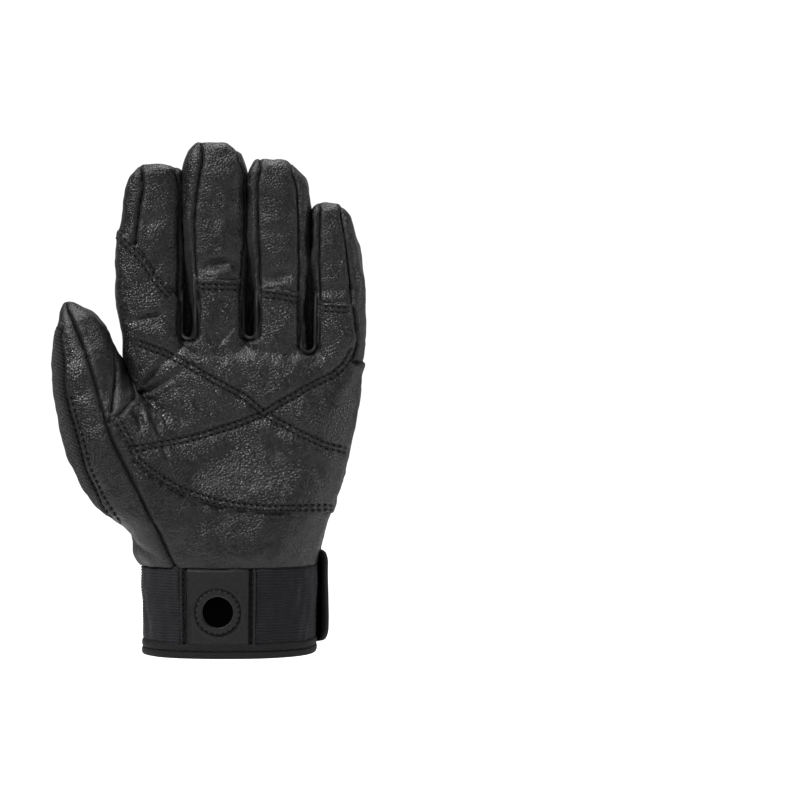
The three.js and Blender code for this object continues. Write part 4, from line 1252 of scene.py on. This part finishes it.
outerRows, innerRows, ringAndBorderShade = [], [], []
for share in np.linspace(0, 1, 44):
    radius = cuff["holeRadius"] + (reach - cuff["holeRadius"]) * share**1.15
    edge = np.minimum(reach - radius, 8)
    puff = tabRelief["puff"] * smoothStep(edge, 0, tabRelief["puffWide"])
    puff = puff + tabRelief["swell"] * bell(edge - tabRelief["swellAway"], tabRelief["swellWide"])
    puff = puff - tabRelief["rowDeep"] * bell(edge - tabRelief["rowAway"], tabRelief["rowWide"])
    fromRing = radius - cuff["holeRadius"] - cuff["ringWide"]
    grow = cuff["tabRise"] - tabRelief["sunk"] + puff + 0.3 * bell(fromRing - 1.3, 1.0)
    grow = grow - tabRelief["holeDip"] * bell(radius - cuff["holeRadius"], tabRelief["holeDipWide"])
    across = cuff["tabAcross"] + radius * c
    up = cuff["holeUp"] + radius * s
    flatPoints = np.stack([across, np.zeros_like(up), up], -1)
    grow = grow + tabRelief["wave"] * waves(flatPoints, tabRelief["waveLength"], 31) + cuffEase(up)
    outerRows.append(cuffRow(turnsAcross(across, 0.5), grow, up))
    innerRows.append(tabPoints(radius, -cuff["elasticWall"] + 0.3))
    # Painted shadow: a dark line round the ring's outer edge and along the tab's border
    ringShadowLine = 0.95 * bell(fromRing - 0.1, 0.5)
    ringAndBorderShade.append(np.maximum(ringShadowLine, 0.9 * bell(reach - radius, 0.5)))
finished(closedWall("cuffTab", np.array(outerRows), np.array(innerRows), True, np.array(ringAndBorderShade)), "cuff_tab")

# Ring: a flat washer round the hole, drawn in a little by each stitch at its rim
ringRelief = {"sunk": 0.9, "thick": 0.6, "inward": 0.1, "pullIn": 0.4, "pullDeep": 0.3, "crown": 0.75}
outerRows, innerRows = [], []
ringBase = cuff["tabRise"] + gap - ringRelief["sunk"]
ringPull = 0.5 + 0.5 * np.cos(turns * cuff["ringStitches"])
for share in np.linspace(0, 1, 18):
    wide = cuff["ringWide"] + ringRelief["inward"] - ringRelief["pullIn"] * ringPull
    radius = cuff["holeRadius"] - ringRelief["inward"] + wide * share
    rise = ringRelief["crown"] * cuff["ringRise"] * (1 - abs(2 * share - 1) ** 5) ** 0.5
    rise = rise - ringRelief["pullDeep"] * ringPull * smoothStep(share, 0.6, 0.95)
    outerRows.append(tabPoints(radius, ringBase) + np.array([0, -1, 0]) * rise[:, None])
    innerRows.append(tabPoints(radius, ringBase - ringRelief["thick"]))
finished(closedWall("tabRing", np.array(outerRows), np.array(innerRows), True), "tab_ring")

# Beside the tab: a piped edge on the outer side, a stitched channel on the inner side
pipe = {"sunk": 0.75, "rise": 1.5, "half": 0.27, "edgeRise": 0.25, "pucker": 0.08, "puckerPitch": 3.2, "over": 0.2}
tabSeams = (
    (-1, seamLeft, tabLeft - gap, "tab_seam_left"),
    (1, tabRight + gap, seamRight, "tab_seam_right"),
)
for side, low, high, nodeName in tabSeams:
    across = np.linspace(low - (side < 0) * pipe["over"], high + (side > 0) * pipe["over"], 18)
    heights = np.linspace(bandLow, bandTop, 90)
    share = np.linspace(0, 1, 18) if side < 0 else np.linspace(1, 0, 18)
    piping = np.sqrt(np.maximum(0, 1 - ((share - pipe["half"]) / pipe["half"]) ** 2))
    grow = -pipe["sunk"] + pipe["rise"] * piping[None, :] * cuff["tabSeamRise"]
    grow = grow + pipe["edgeRise"] * bell(share - 0.95, 0.12)[None, :]
    pucker = pipe["pucker"] * np.sin(2 * math.pi * heights / pipe["puckerPitch"])
    grow = grow + pucker[:, None] + cuffEase(heights)[:, None]
    seamTurns = turnsAcross(across, 0.0)
    outer = np.stack([cuffRow(seamTurns, row, z) for z, row in zip(heights, grow)])
    inner = np.stack([cuffRow(seamTurns, -cuff["elasticWall"], z) for z in heights])
    # Painted shade in the stitched channel on the inner side
    channelShade = smoothStep(share, 0.58, 0.7) * 0.8
    finished(closedWall(pieceName(nodeName), outer, inner, False, channelShade[None, :]), nodeName)

# Hem: two soft rolls with a stitched groove between them
hem = {"rollOver": 0.25, "rollRound": 2.4, "sag": 0.18, "sagLength": 14, "sagShare": 0.6, "ease": -1.1}
turns = np.linspace(0, 2 * math.pi, 380, endpoint=False)
heights = np.linspace(0, cuff["bindingHigh"], 38)
middle = cuff["bindingHigh"] / 2
rollHalf = (cuff["bindingHigh"] - cuff["bindingGroove"]) / 4
fromRoll = np.abs(np.abs(heights - middle) - cuff["bindingGroove"] / 2 - rollHalf) / (rollHalf + hem["rollOver"])
bulge = cuff["bindingRise"] * np.sqrt(np.maximum(0, 1 - np.minimum(fromRoll, 1) ** hem["rollRound"]))
grid = cuffPoints(turns[None, :], 0.0, heights[:, None])
outward = cuffPoints(turns[None, :], 1.0, heights[:, None]) - grid
sag = hem["sag"] * waves(grid.reshape(-1, 3), hem["sagLength"], 41).reshape(grid.shape[:2])
outer = grid + outward * (bulge[:, None] + sag * hem["sagShare"] + hem["ease"])[..., None]
inner = cuffPoints(turns[None, :], -cuff["elasticWall"] - 0.3, heights[:, None])
# Painted shade in the stitched groove and along the hem's top edge
grooveShade = 0.95 * bell(heights - middle, 0.45) + 0.8 * bell(heights - cuff["bindingHigh"], 0.4)
finished(closedWall("cuffBinding", outer, inner, True, np.clip(grooveShade, 0, 1)[:, None]), "cuff_binding")

# Strap: a smooth band that stands off the back of the cuff, with rounded ends
strap = {
    "edgeThick": 0.45,
    "fullThick": 0.55,
    "edgeSpan": 34,
    "rowDeep": 0.35,
    "rowAway": 3.0,
    "rowWide": 0.5,
    "wave": 0.25,
    "waveLength": 22,
}
strapX = glove["cuffWidth"] / 2 + cuff["strapStandOff"]
strapY = glove["cuffDepth"] / 2 + cuff["bindingRise"] + gap
strapTop = cuff["strapUp"] + cuff["strapHigh"]
heights = np.linspace(cuff["strapUp"], strapTop, 64)
corner = cuff["strapCorner"]
fromEnd = np.minimum(heights - cuff["strapUp"], strapTop - heights)
inset = corner - np.sqrt(np.maximum(0, corner**2 - np.maximum(0, corner - fromEnd) ** 2))


# The turn at which the band reaches a depth or a place across
def strapTurnAtDepth(y):
    s = np.sign(y) * (np.abs(y) / strapY) ** (cuff["boxy"] / 2)
    return np.arcsin(np.clip(s, -1, 1))


def strapTurnAcross(x):
    c = np.sign(x) * (np.abs(x) / strapX) ** (cuff["boxy"] / 2)
    return np.arccos(np.clip(c, -1, 1))


outerRows, innerRows = [], []
for z, pull in zip(heights, inset):
    ease = -0.5 * pull
    a = strapTurnAtDepth(cuff["strapFront"] + pull)
    b = strapTurnAcross(-cuff["strapReach"] + pull)
    turn = np.linspace(a, b, 160)
    away = np.minimum(np.linspace(0, 1, 160), np.linspace(1, 0, 160)) * (b - a) * strap["edgeSpan"]
    edge = np.minimum(away, min(z - cuff["strapUp"], strapTop - z))
    thick = cuff["strapThick"] * (strap["edgeThick"] + strap["fullThick"] * np.sqrt(smoothStep(edge, -0.5, 1.6)))
    thick = thick - strap["rowDeep"] * bell(edge - strap["rowAway"], strap["rowWide"])
    flatPoints = np.stack([turn * 40, np.zeros_like(turn), np.full_like(turn, z)], -1)
    wave = strap["wave"] * waves(flatPoints, strap["waveLength"], 51)
    outerRows.append(cuffRow(turn, thick + wave + ease, z, strapX, strapY))
    innerRows.append(cuffPoints(turn, ease, z, strapX, strapY))
finished(closedWall("closureStrap", np.array(outerRows), np.array(innerRows), False), "closure_strap")

# Threads of the cuff: beside the tab, round the ring and in the hem's groove
cuffSoup, count = [], 0
soupFaces = []
for nodeName in ("cuff_tab", "tab_ring", "tab_seam_left", "tab_seam_right"):
    ownPoints, ownFaces = readMesh(pieces[nodeName])
    cuffSoup.append(ownPoints)
    soupFaces += [[i + count for i in face if i >= 0] for face in ownFaces.tolist()]
    count += len(ownPoints)
cuffTree = BVHTree.FromPolygons(np.concatenate(cuffSoup).tolist(), soupFaces)
frontScale = 1 - (glove["cuffDepth"] / 2 + 0.5) / eye["away"]


def seenOnTab(across, up):
    return np.stack([eye["across"] + (np.asarray(across) - eye["across"]) / frontScale,
                     eye["up"] + (np.asarray(up) - eye["up"]) / frontScale], -1)


cuffThread = {"besideTab": 0.75, "ringFrom": 9.1, "ringTo": 10.9, "ringThick": 0.26, "hemCount": 36, "hemLong": 0.62}
cuffStitches = []
for across in (tabLeft - gap - cuffThread["besideTab"], tabRight + gap + cuffThread["besideTab"]):
    heights = np.linspace(bandLow + 0.8, bandTop - 1, 40)
    cuffStitches += stitchesAlong(seenOnTab(np.full(40, across), heights), 0.0, cuffTree)
for turn in np.linspace(0, 2 * math.pi, cuff["ringStitches"], endpoint=False):
    way = np.array([math.cos(turn), math.sin(turn)])
    radii = (cuffThread["ringFrom"], cuffThread["ringTo"])
    inEnd, outEnd = [seenOnTab(cuff["tabAcross"] + r * way[0], cuff["holeUp"] + r * way[1]) for r in radii]
    stitch = stitchOn(inEnd, outEnd, cuffThread["ringThick"], cuffTree)
    if stitch:
        cuffStitches.append(stitch)
grooveStep = skinShape["stitchPitch"] / cuffThread["hemCount"]
for turn in np.arange(0, 2 * math.pi - grooveStep / 2, grooveStep):
    shares = np.array([0.0, 0.2, 0.5, 0.8, 1.0]) * cuffThread["hemLong"] * grooveStep + turn
    lift = np.array([-0.25, 0.05, 0.12, 0.05, -0.25]) + hem["ease"] + 0.05
    cuffStitches.append(tubeMesh(cuffPoints(shares, lift, middle), [0.16, 0.24, 0.24, 0.24, 0.16], 6))
extras["cuffThread"] = joined("cuffThread", cuffStitches)
print("cuff:", len(cuffStitches), "stitches")


# Puts a value on each named or numbered input, or links an output of another node to it
def fill(tree, made, inputs):
    for name, value in inputs.items():
        if isinstance(value, bpy.types.NodeSocket):
            tree.links.new(value, made.inputs[name])
        else:
            made.inputs[name].default_value = value


# A node of a material, with its inputs and its settings
def node(tree, kind, inputs=None, **settings):
    made = tree.nodes.new(kind)
    for name, value in settings.items():
        setattr(made, name, value)
    fill(tree, made, inputs or {})
    return made


def mathNode(tree, operation, a, b=None, clamp=False):
    inputs = {0: a} if b is None else {0: a, 1: b}
    return node(tree, "ShaderNodeMath", inputs, operation=operation, use_clamp=clamp).outputs[0]


# The plain sums of one tree, each a function of its two inputs
def sumsOf(tree):
    return [partial(mathNode, tree, operation) for operation in ("ADD", "SUBTRACT", "MULTIPLY", "DIVIDE")]


def newGroup(name, inputs, outputs):
    group = bpy.data.node_groups.new(name, "ShaderNodeTree")
    for label, value in inputs.items():
        socket = group.interface.new_socket(label, in_out="INPUT", socket_type="NodeSocketFloat")
        socket.default_value = value
    for label in outputs:
        group.interface.new_socket(label, in_out="OUTPUT", socket_type="NodeSocketFloat")
    return group, node(group, "NodeGroupInput"), node(group, "NodeGroupOutput")


def millimetres(tree):
    place = node(tree, "ShaderNodeTexCoord").outputs["Object"]
    inputs = {"Vector": place, "Scale": (1000, 1000, 1000)}
    return node(tree, "ShaderNodeMapping", inputs, vector_type="POINT").outputs["Vector"]


def noiseAt(tree, vector, scale, detail=2.0, roughness=0.5):
    inputs = {"Vector": vector, "Scale": scale, "Detail": detail, "Roughness": roughness}
    return node(tree, "ShaderNodeTexNoise", inputs).outputs["Fac"]


# How leather's domes, the gaps between them, its fine grain, patches and wrinkles are drawn
grainShape = {
    "warpScale": 0.35,
    "warp": 0.7,
    "smoothness": 0.25,
    "domeFall": 2.0,
    "domeTone": 0.8,
    "gapFall": 5.5,
    "gapDeep": 0.35,
    "gapTone": 0.55,
    "fineScale": 3.2,
    "fineTone": 0.9,
    "patchScale": 0.075,
    "patchFrom": 0.36,
    "patchGain": 4.0,
    "patchShare": 0.45,
    "plainShare": 0.55,
    "ridgeScale": 0.42,
    "ridgeFall": 9.0,
}


# Pebbled grain of leather: height in millimetres, and a tone: the grain's own tone, lighter on the domes, with
# painted shade darkening the gaps between them
def buildGrain():
    inputs = {"Cell": 1.1, "Depth": 0.12, "Fine": 0.03, "Wrinkle": 0.1}
    tree, given, put = newGroup("hideGrain", inputs, ("Height", "Tone"))
    add, subtract, multiply, divide = sumsOf(tree)
    cell, depth = given.outputs["Cell"], given.outputs["Depth"]
    place = millimetres(tree)
    warp = node(tree, "ShaderNodeTexNoise", {"Vector": place, "Scale": grainShape["warpScale"]})
    inputs = {0: warp.outputs["Color"], 1: [grainShape["warp"]] * 3, 2: place}
    bent = node(tree, "ShaderNodeVectorMath", inputs, operation="MULTIPLY_ADD").outputs[0]
    inputs = {"Vector": bent, "Scale": divide(1.0, cell)}
    rift = node(tree, "ShaderNodeTexVoronoi", inputs, feature="DISTANCE_TO_EDGE").outputs["Distance"]
    pebble = node(tree, "ShaderNodeTexVoronoi", inputs, feature="SMOOTH_F1")
    pebble.inputs["Smoothness"].default_value = grainShape["smoothness"]
    pebble = pebble.outputs["Distance"]
    dome = subtract(1.0, multiply(multiply(pebble, pebble), grainShape["domeFall"]), clamp=True)
    gap = subtract(1.0, multiply(rift, grainShape["gapFall"]), clamp=True)
    fine = noiseAt(tree, place, grainShape["fineScale"], 3.0, 0.6)
    broad = noiseAt(tree, place, grainShape["patchScale"])
    patchy = multiply(subtract(broad, grainShape["patchFrom"]), grainShape["patchGain"], clamp=True)
    patchy = add(multiply(patchy, grainShape["patchShare"]), grainShape["plainShare"])
    ridge = noiseAt(tree, place, grainShape["ridgeScale"], 3.0, 0.6)
    ridge = mathNode(tree, "ABSOLUTE", subtract(ridge, 0.5))
    ridge = subtract(1.0, multiply(ridge, grainShape["ridgeFall"]), clamp=True)
    height = multiply(multiply(dome, depth), patchy)
    height = subtract(height, multiply(gap, multiply(depth, grainShape["gapDeep"])))
    height = add(height, multiply(fine, given.outputs["Fine"]))
    height = subtract(height, multiply(ridge, given.outputs["Wrinkle"]))
    tone = multiply(multiply(dome, patchy), grainShape["domeTone"])
    # Painted shade in the gaps between the domes
    tone = subtract(tone, multiply(gap, grainShape["gapTone"]))
    tone = add(tone, multiply(subtract(fine, 0.5), grainShape["fineTone"]), clamp=True)
    fill(tree, put, {"Height": height, "Tone": tone})
    return tree


# Stitch holes along the pairs of rows that a panel's own attributes carry, dented and painted with shade
def buildStitch():
    inputs = {"Pitch": 3.0, "Half": 1.2, "Wide": 0.5, "Depth": 0.3, "Shift": 0.58}
    tree, given, put = newGroup("stitchRow", inputs, ("Height", "Mask"))
    add, subtract, multiply, divide = sumsOf(tree)
    pitch = given.outputs["Pitch"]
    side = node(tree, "ShaderNodeAttribute", attribute_name="stitchSide").outputs["Fac"]
    along = node(tree, "ShaderNodeAttribute", attribute_name="stitchAlong").outputs["Fac"]
    away = mathNode(tree, "ABSOLUTE", subtract(mathNode(tree, "ABSOLUTE", side), given.outputs["Half"]))
    beat = mathNode(tree, "FRACT", add(divide(along, pitch), given.outputs["Shift"]))
    beside = multiply(subtract(beat, 0.5), pitch)
    distance = mathNode(tree, "SQRT", add(multiply(away, away), multiply(beside, beside)))
    # Painted shade in the stitch holes
    mask = multiply(subtract(given.outputs["Wide"], distance), 4.0, clamp=True)
    height = multiply(mask, multiply(given.outputs["Depth"], -1.0))
    fill(tree, put, {"Height": height, "Mask": mask})
    return tree


# Fine ribs, at a pitch in millimetres along the turned Z axis, broken up a little
def buildRibs():
    inputs = {"Pitch": 1.4, "Cross": 0.9, "Depth": 0.15, "Lean": 0.6}
    tree, given, put = newGroup("knitRibs", inputs, ("Height", "Tone"))
    add, subtract, multiply, divide = sumsOf(tree)
    fullTurn = 6.28318
    place = millimetres(tree)
    x, y, z = node(tree, "ShaderNodeSeparateXYZ", {0: place}).outputs
    shift = multiply(noiseAt(tree, place, 0.3, 1.0), 0.8)
    run = add(add(z, multiply(x, given.outputs["Lean"])), shift)
    rib = mathNode(tree, "SINE", multiply(divide(run, given.outputs["Pitch"]), fullTurn))
    across = add(subtract(x, multiply(z, 0.12)), multiply(y, 0.8))
    loop = mathNode(tree, "SINE", multiply(divide(across, given.outputs["Cross"]), fullTurn))
    both = add(multiply(rib, 0.7), multiply(loop, 0.3))
    both = add(both, multiply(noiseAt(tree, place, 4.0, 2.0), 0.4))
    height = multiply(both, given.outputs["Depth"])
    fill(tree, put, {"Height": height, "Tone": add(multiply(both, 0.4), 0.35, clamp=True)})
    return tree


hideGrain, stitchRow, knitRibs = buildGrain(), buildStitch(), buildRibs()


def mixedColour(tree, factor, low, high):
    inputs = {"Factor": factor, "A": low, "B": (*high, 1)}
    return node(tree, "ShaderNodeMix", inputs, data_type="RGBA").outputs["Result"]


def newMaterial(name, roughness, specular, sheen=0.0):
    material = bpy.data.materials.new(name)
    material.use_nodes = True
    tree = material.node_tree
    shader = tree.nodes["Principled BSDF"]
    fill(tree, shader, {
        "Roughness": roughness, "Specular IOR Level": specular, "Sheen Weight": sheen, "Sheen Roughness": 0.5,
    })
    return material, tree, shader


# Near-black painted shade, for the seams, stitch holes, creases, slots and gaps and the walls' inner faces
paintedShadeColour = (0.0012, 0.0012, 0.0013)


# Gives the shader its colours, with painted shade mixed in where sunk is high, and the relief of its surface in
# millimetres
def coloured(tree, shader, tone, low, high, sunk, height):
    colour = mixedColour(tree, tone, (*low, 1), high)
    bump = node(tree, "ShaderNodeBump", {"Height": height, "Distance": mm, "Strength": 1.0})
    colourWithPaintedShade = mixedColour(tree, sunk, colour, paintedShadeColour)
    fill(tree, shader, {"Base Color": colourWithPaintedShade, "Normal": bump.outputs["Normal"]})


# How strongly a piece's painted shade darkens it
def paintedShadeMask(tree):
    crease = node(tree, "ShaderNodeAttribute", attribute_name="crease")
    return mathNode(tree, "MULTIPLY", crease.outputs["Fac"], 1.0, clamp=True)


# Stitch holes in the leather, in millimetres, painted with shade
hole = {
    "Pitch": skinShape["stitchPitch"],
    "Half": skinShape["rowsApart"] / 2,
    "Wide": 0.98,
    "Depth": 0.5,
}
# How much rougher leather is in its gaps and in its seams and holes
rougher = {"base": 0.12, "dome": -0.2, "sunk": 0.45}


def leatherMaterial(name, low, high, cell, depth, fine, wrinkle, roughness, specular):
    material, tree, shader = newMaterial(name, roughness, specular)
    add, _, multiply, _ = sumsOf(tree)
    inputs = {"Cell": cell, "Depth": depth, "Fine": fine, "Wrinkle": wrinkle}
    grain = node(tree, "ShaderNodeGroup", inputs, node_tree=hideGrain).outputs
    stitch = node(tree, "ShaderNodeGroup", hole, node_tree=stitchRow).outputs
    # Painted shade: the stitch holes and the piece's painted shade together
    sunk = mathNode(tree, "MAXIMUM", stitch["Mask"], paintedShadeMask(tree))
    rough = add(multiply(grain["Tone"], rougher["dome"]), roughness + rougher["base"])
    fill(tree, shader, {"Roughness": add(rough, multiply(sunk, rougher["sunk"]), clamp=True)})
    coloured(tree, shader, grain["Tone"], low, high, sunk, add(grain["Height"], stitch["Height"]))
    return material


def ribMaterial(name, low, high, pitch, cross, depth, lean, roughness, sheen, specular=0.3):
    material, tree, shader = newMaterial(name, roughness, specular, sheen)
    inputs = {"Pitch": pitch, "Cross": cross, "Depth": depth, "Lean": lean}
    weave = node(tree, "ShaderNodeGroup", inputs, node_tree=knitRibs).outputs
    coloured(tree, shader, weave["Tone"], low, high, paintedShadeMask(tree), weave["Height"])
    return material


print("materials")
palmLeather = leatherMaterial(
    "palmLeather", (0.0005, 0.0005, 0.0005), (0.022, 0.022, 0.0228),
    cell=1.25, depth=0.2, fine=0.01, wrinkle=0.015, roughness=0.27, specular=0.5,
)
softLeather = leatherMaterial(
    "softLeather", (0.0005, 0.0005, 0.0005), (0.022, 0.022, 0.0228),
    cell=1.2, depth=0.16, fine=0.01, wrinkle=0.01, roughness=0.29, specular=0.5,
)
tabLeather = leatherMaterial(
    "tabLeather", (0.002, 0.002, 0.0021), (0.014, 0.014, 0.0146),
    cell=0.8, depth=0.07, fine=0.01, wrinkle=0.01, roughness=0.46, specular=0.4,
)
# A darker copy of the leather for the rolled lips: painted shade beside the slots
lipLeather = leatherMaterial(
    "lipLeather", (0.002, 0.002, 0.0021), (0.007, 0.007, 0.0072),
    cell=0.9, depth=0.05, fine=0.02, wrinkle=0.02, roughness=0.5, specular=0.35,
)
knitCloth = ribMaterial(
    "knitCloth", (0.0015, 0.0015, 0.0018), (0.036, 0.036, 0.0388),
    pitch=1.7, cross=0.9, depth=0.3, lean=0.6, roughness=0.85, sheen=0.06,
)
elasticCloth = ribMaterial(
    "elasticCloth", (0.001, 0.001, 0.0014), (0.022, 0.0213, 0.0275),
    pitch=1.35, cross=0.7, depth=0.16, lean=0.0, roughness=0.8, sheen=0.06,
)
hemCloth = ribMaterial(
    "hemCloth", (0.0015, 0.0015, 0.0018), (0.0065, 0.0063, 0.0074),
    pitch=0.9, cross=0.6, depth=0.1, lean=0.15, roughness=0.75, sheen=0.06,
)
strapCloth = leatherMaterial(
    "strapCloth", (0.006, 0.006, 0.0065), (0.018, 0.018, 0.0192),
    cell=0.6, depth=0.05, fine=0.03, wrinkle=0.0, roughness=0.6, specular=0.2,
)
# Near-black lining for the walls' inner faces: painted shade inside the glove
blackLining = ribMaterial(
    "blackLining", (0.0004, 0.0004, 0.0004), (0.001, 0.001, 0.001),
    pitch=1.35, cross=0.7, depth=0.1, lean=0.0, roughness=1.0, sheen=0.0, specular=0.03,
)
blackThread = ribMaterial(
    "blackThread", (0.0008, 0.0008, 0.0008), (0.002, 0.002, 0.0021),
    pitch=0.5, cross=0.4, depth=0.05, lean=0.5, roughness=0.6, sheen=0.1, specular=0.04,
)

finishes = {
    "back_panel": (knitCloth, "knit"),
    "cuff_elastic": (elasticCloth, "elastic"),
    "cuff_binding": (hemCloth, "elastic"),
    "closure_strap": (strapCloth, "strap"),
    "cuff_tab": (tabLeather, "leather"),
    "tab_ring": (tabLeather, "leather"),
    "tab_seam_left": (tabLeather, "leather"),
    "tab_seam_right": (tabLeather, "leather"),
    "palm_patch": (palmLeather, "leather"),
    "palm_heel": (softLeather, "leather"),
}
for name, piece in extras.items():
    finishes[name] = (lipLeather if name.endswith("Lip") else blackThread, "leather")
for name, piece in (*pieces.items(), *extras.items()):
    material, slotName = finishes.get(name, (softLeather, "leather"))
    if piece.data.materials:
        piece.data.materials[0], piece.data.materials[1] = material, blackLining
    else:
        piece.data.materials.append(material)

# Stage, camera and lights
stageSizes = {"floor": 8.0, "floorUp": -0.14, "sensor": 36.0}
studio = {"surround": 0.02, "behind": 0.4, "backdrop": 1.05, "turnFrom": 0.1, "turnGain": 1.2}
bpy.ops.object.select_all(action="DESELECT")
bpy.ops.mesh.primitive_plane_add(size=stageSizes["floor"], location=(0, 1.5, stageSizes["floorUp"]))
floor = bpy.context.object
floor.name = "floor"
bpy.ops.object.transform_apply(location=True, rotation=True, scale=True)
paper, paperTree, paperShader = newMaterial("paper", 0.9, 0.1)
floor.data.materials.append(paper)
glow = mathNode(paperTree, "MULTIPLY", node(paperTree, "ShaderNodeLightPath").outputs["Is Camera Ray"], 1.0)
fill(paperTree, paperShader, {
    "Base Color": (0.9, 0.9, 0.9, 1), "Emission Color": (1, 1, 1, 1), "Emission Strength": glow,
})

camera = bpy.data.objects.new("camera", bpy.data.cameras.new("camera"))
bpy.context.scene.collection.objects.link(camera)
camera.location = (eye["across"] * mm, -eye["away"] * mm, eye["up"] * mm)
camera.rotation_euler = (math.pi / 2, 0, 0)
camera.data.sensor_width = stageSizes["sensor"]
camera.data.lens = stageSizes["sensor"] * eye["away"] / eye["viewWidth"]
camera.data.clip_start = 0.05
bpy.context.scene.camera = camera

world = bpy.data.worlds.new("studio")
world.use_nodes = True
worldTree = world.node_tree
add, _, multiply, _ = sumsOf(worldTree)
# The backdrop is white as seen, and lights the glove from behind more than from the front
seenFirst = node(worldTree, "ShaderNodeLightPath").outputs["Is Camera Ray"]
ways = node(worldTree, "ShaderNodeSeparateXYZ", {0: node(worldTree, "ShaderNodeTexCoord").outputs["Generated"]})
behind = multiply(add(ways.outputs["Y"], studio["turnFrom"]), studio["turnGain"], clamp=True)
behind = multiply(behind, studio["behind"] - studio["surround"])
around = add(behind, studio["surround"])
strength = mathNode(worldTree, "MAXIMUM", multiply(seenFirst, studio["backdrop"]), around)
fill(worldTree, worldTree.nodes["Background"], {"Color": (1, 1, 1, 1), "Strength": strength})
bpy.context.scene.world = world
bpy.context.scene.view_settings.view_transform = "Standard"

lights = [
    # name, place, size, watts
    ("key", (-0.65, -0.6, 1.05), 0.35, 16.0),
    ("front", (0.3, -1.1, 0.65), 0.5, 1.0),
    ("right", (1.15, -0.2, 0.2), 0.6, 4.0),
    ("top", (0.1, 0.05, 1.15), 0.6, 8.0),
]
for name, place, size, watts in lights:
    data = bpy.data.lights.new(name, "AREA")
    data.shape = "DISK"
    data.size = size
    data.energy = watts
    lamp = bpy.data.objects.new(name, data)
    bpy.context.scene.collection.objects.link(lamp)
    lamp.location = place
    lamp.rotation_euler = (Vector((0, 0, 0.12)) - Vector(place)).to_track_quat("-Z", "Y").to_euler()
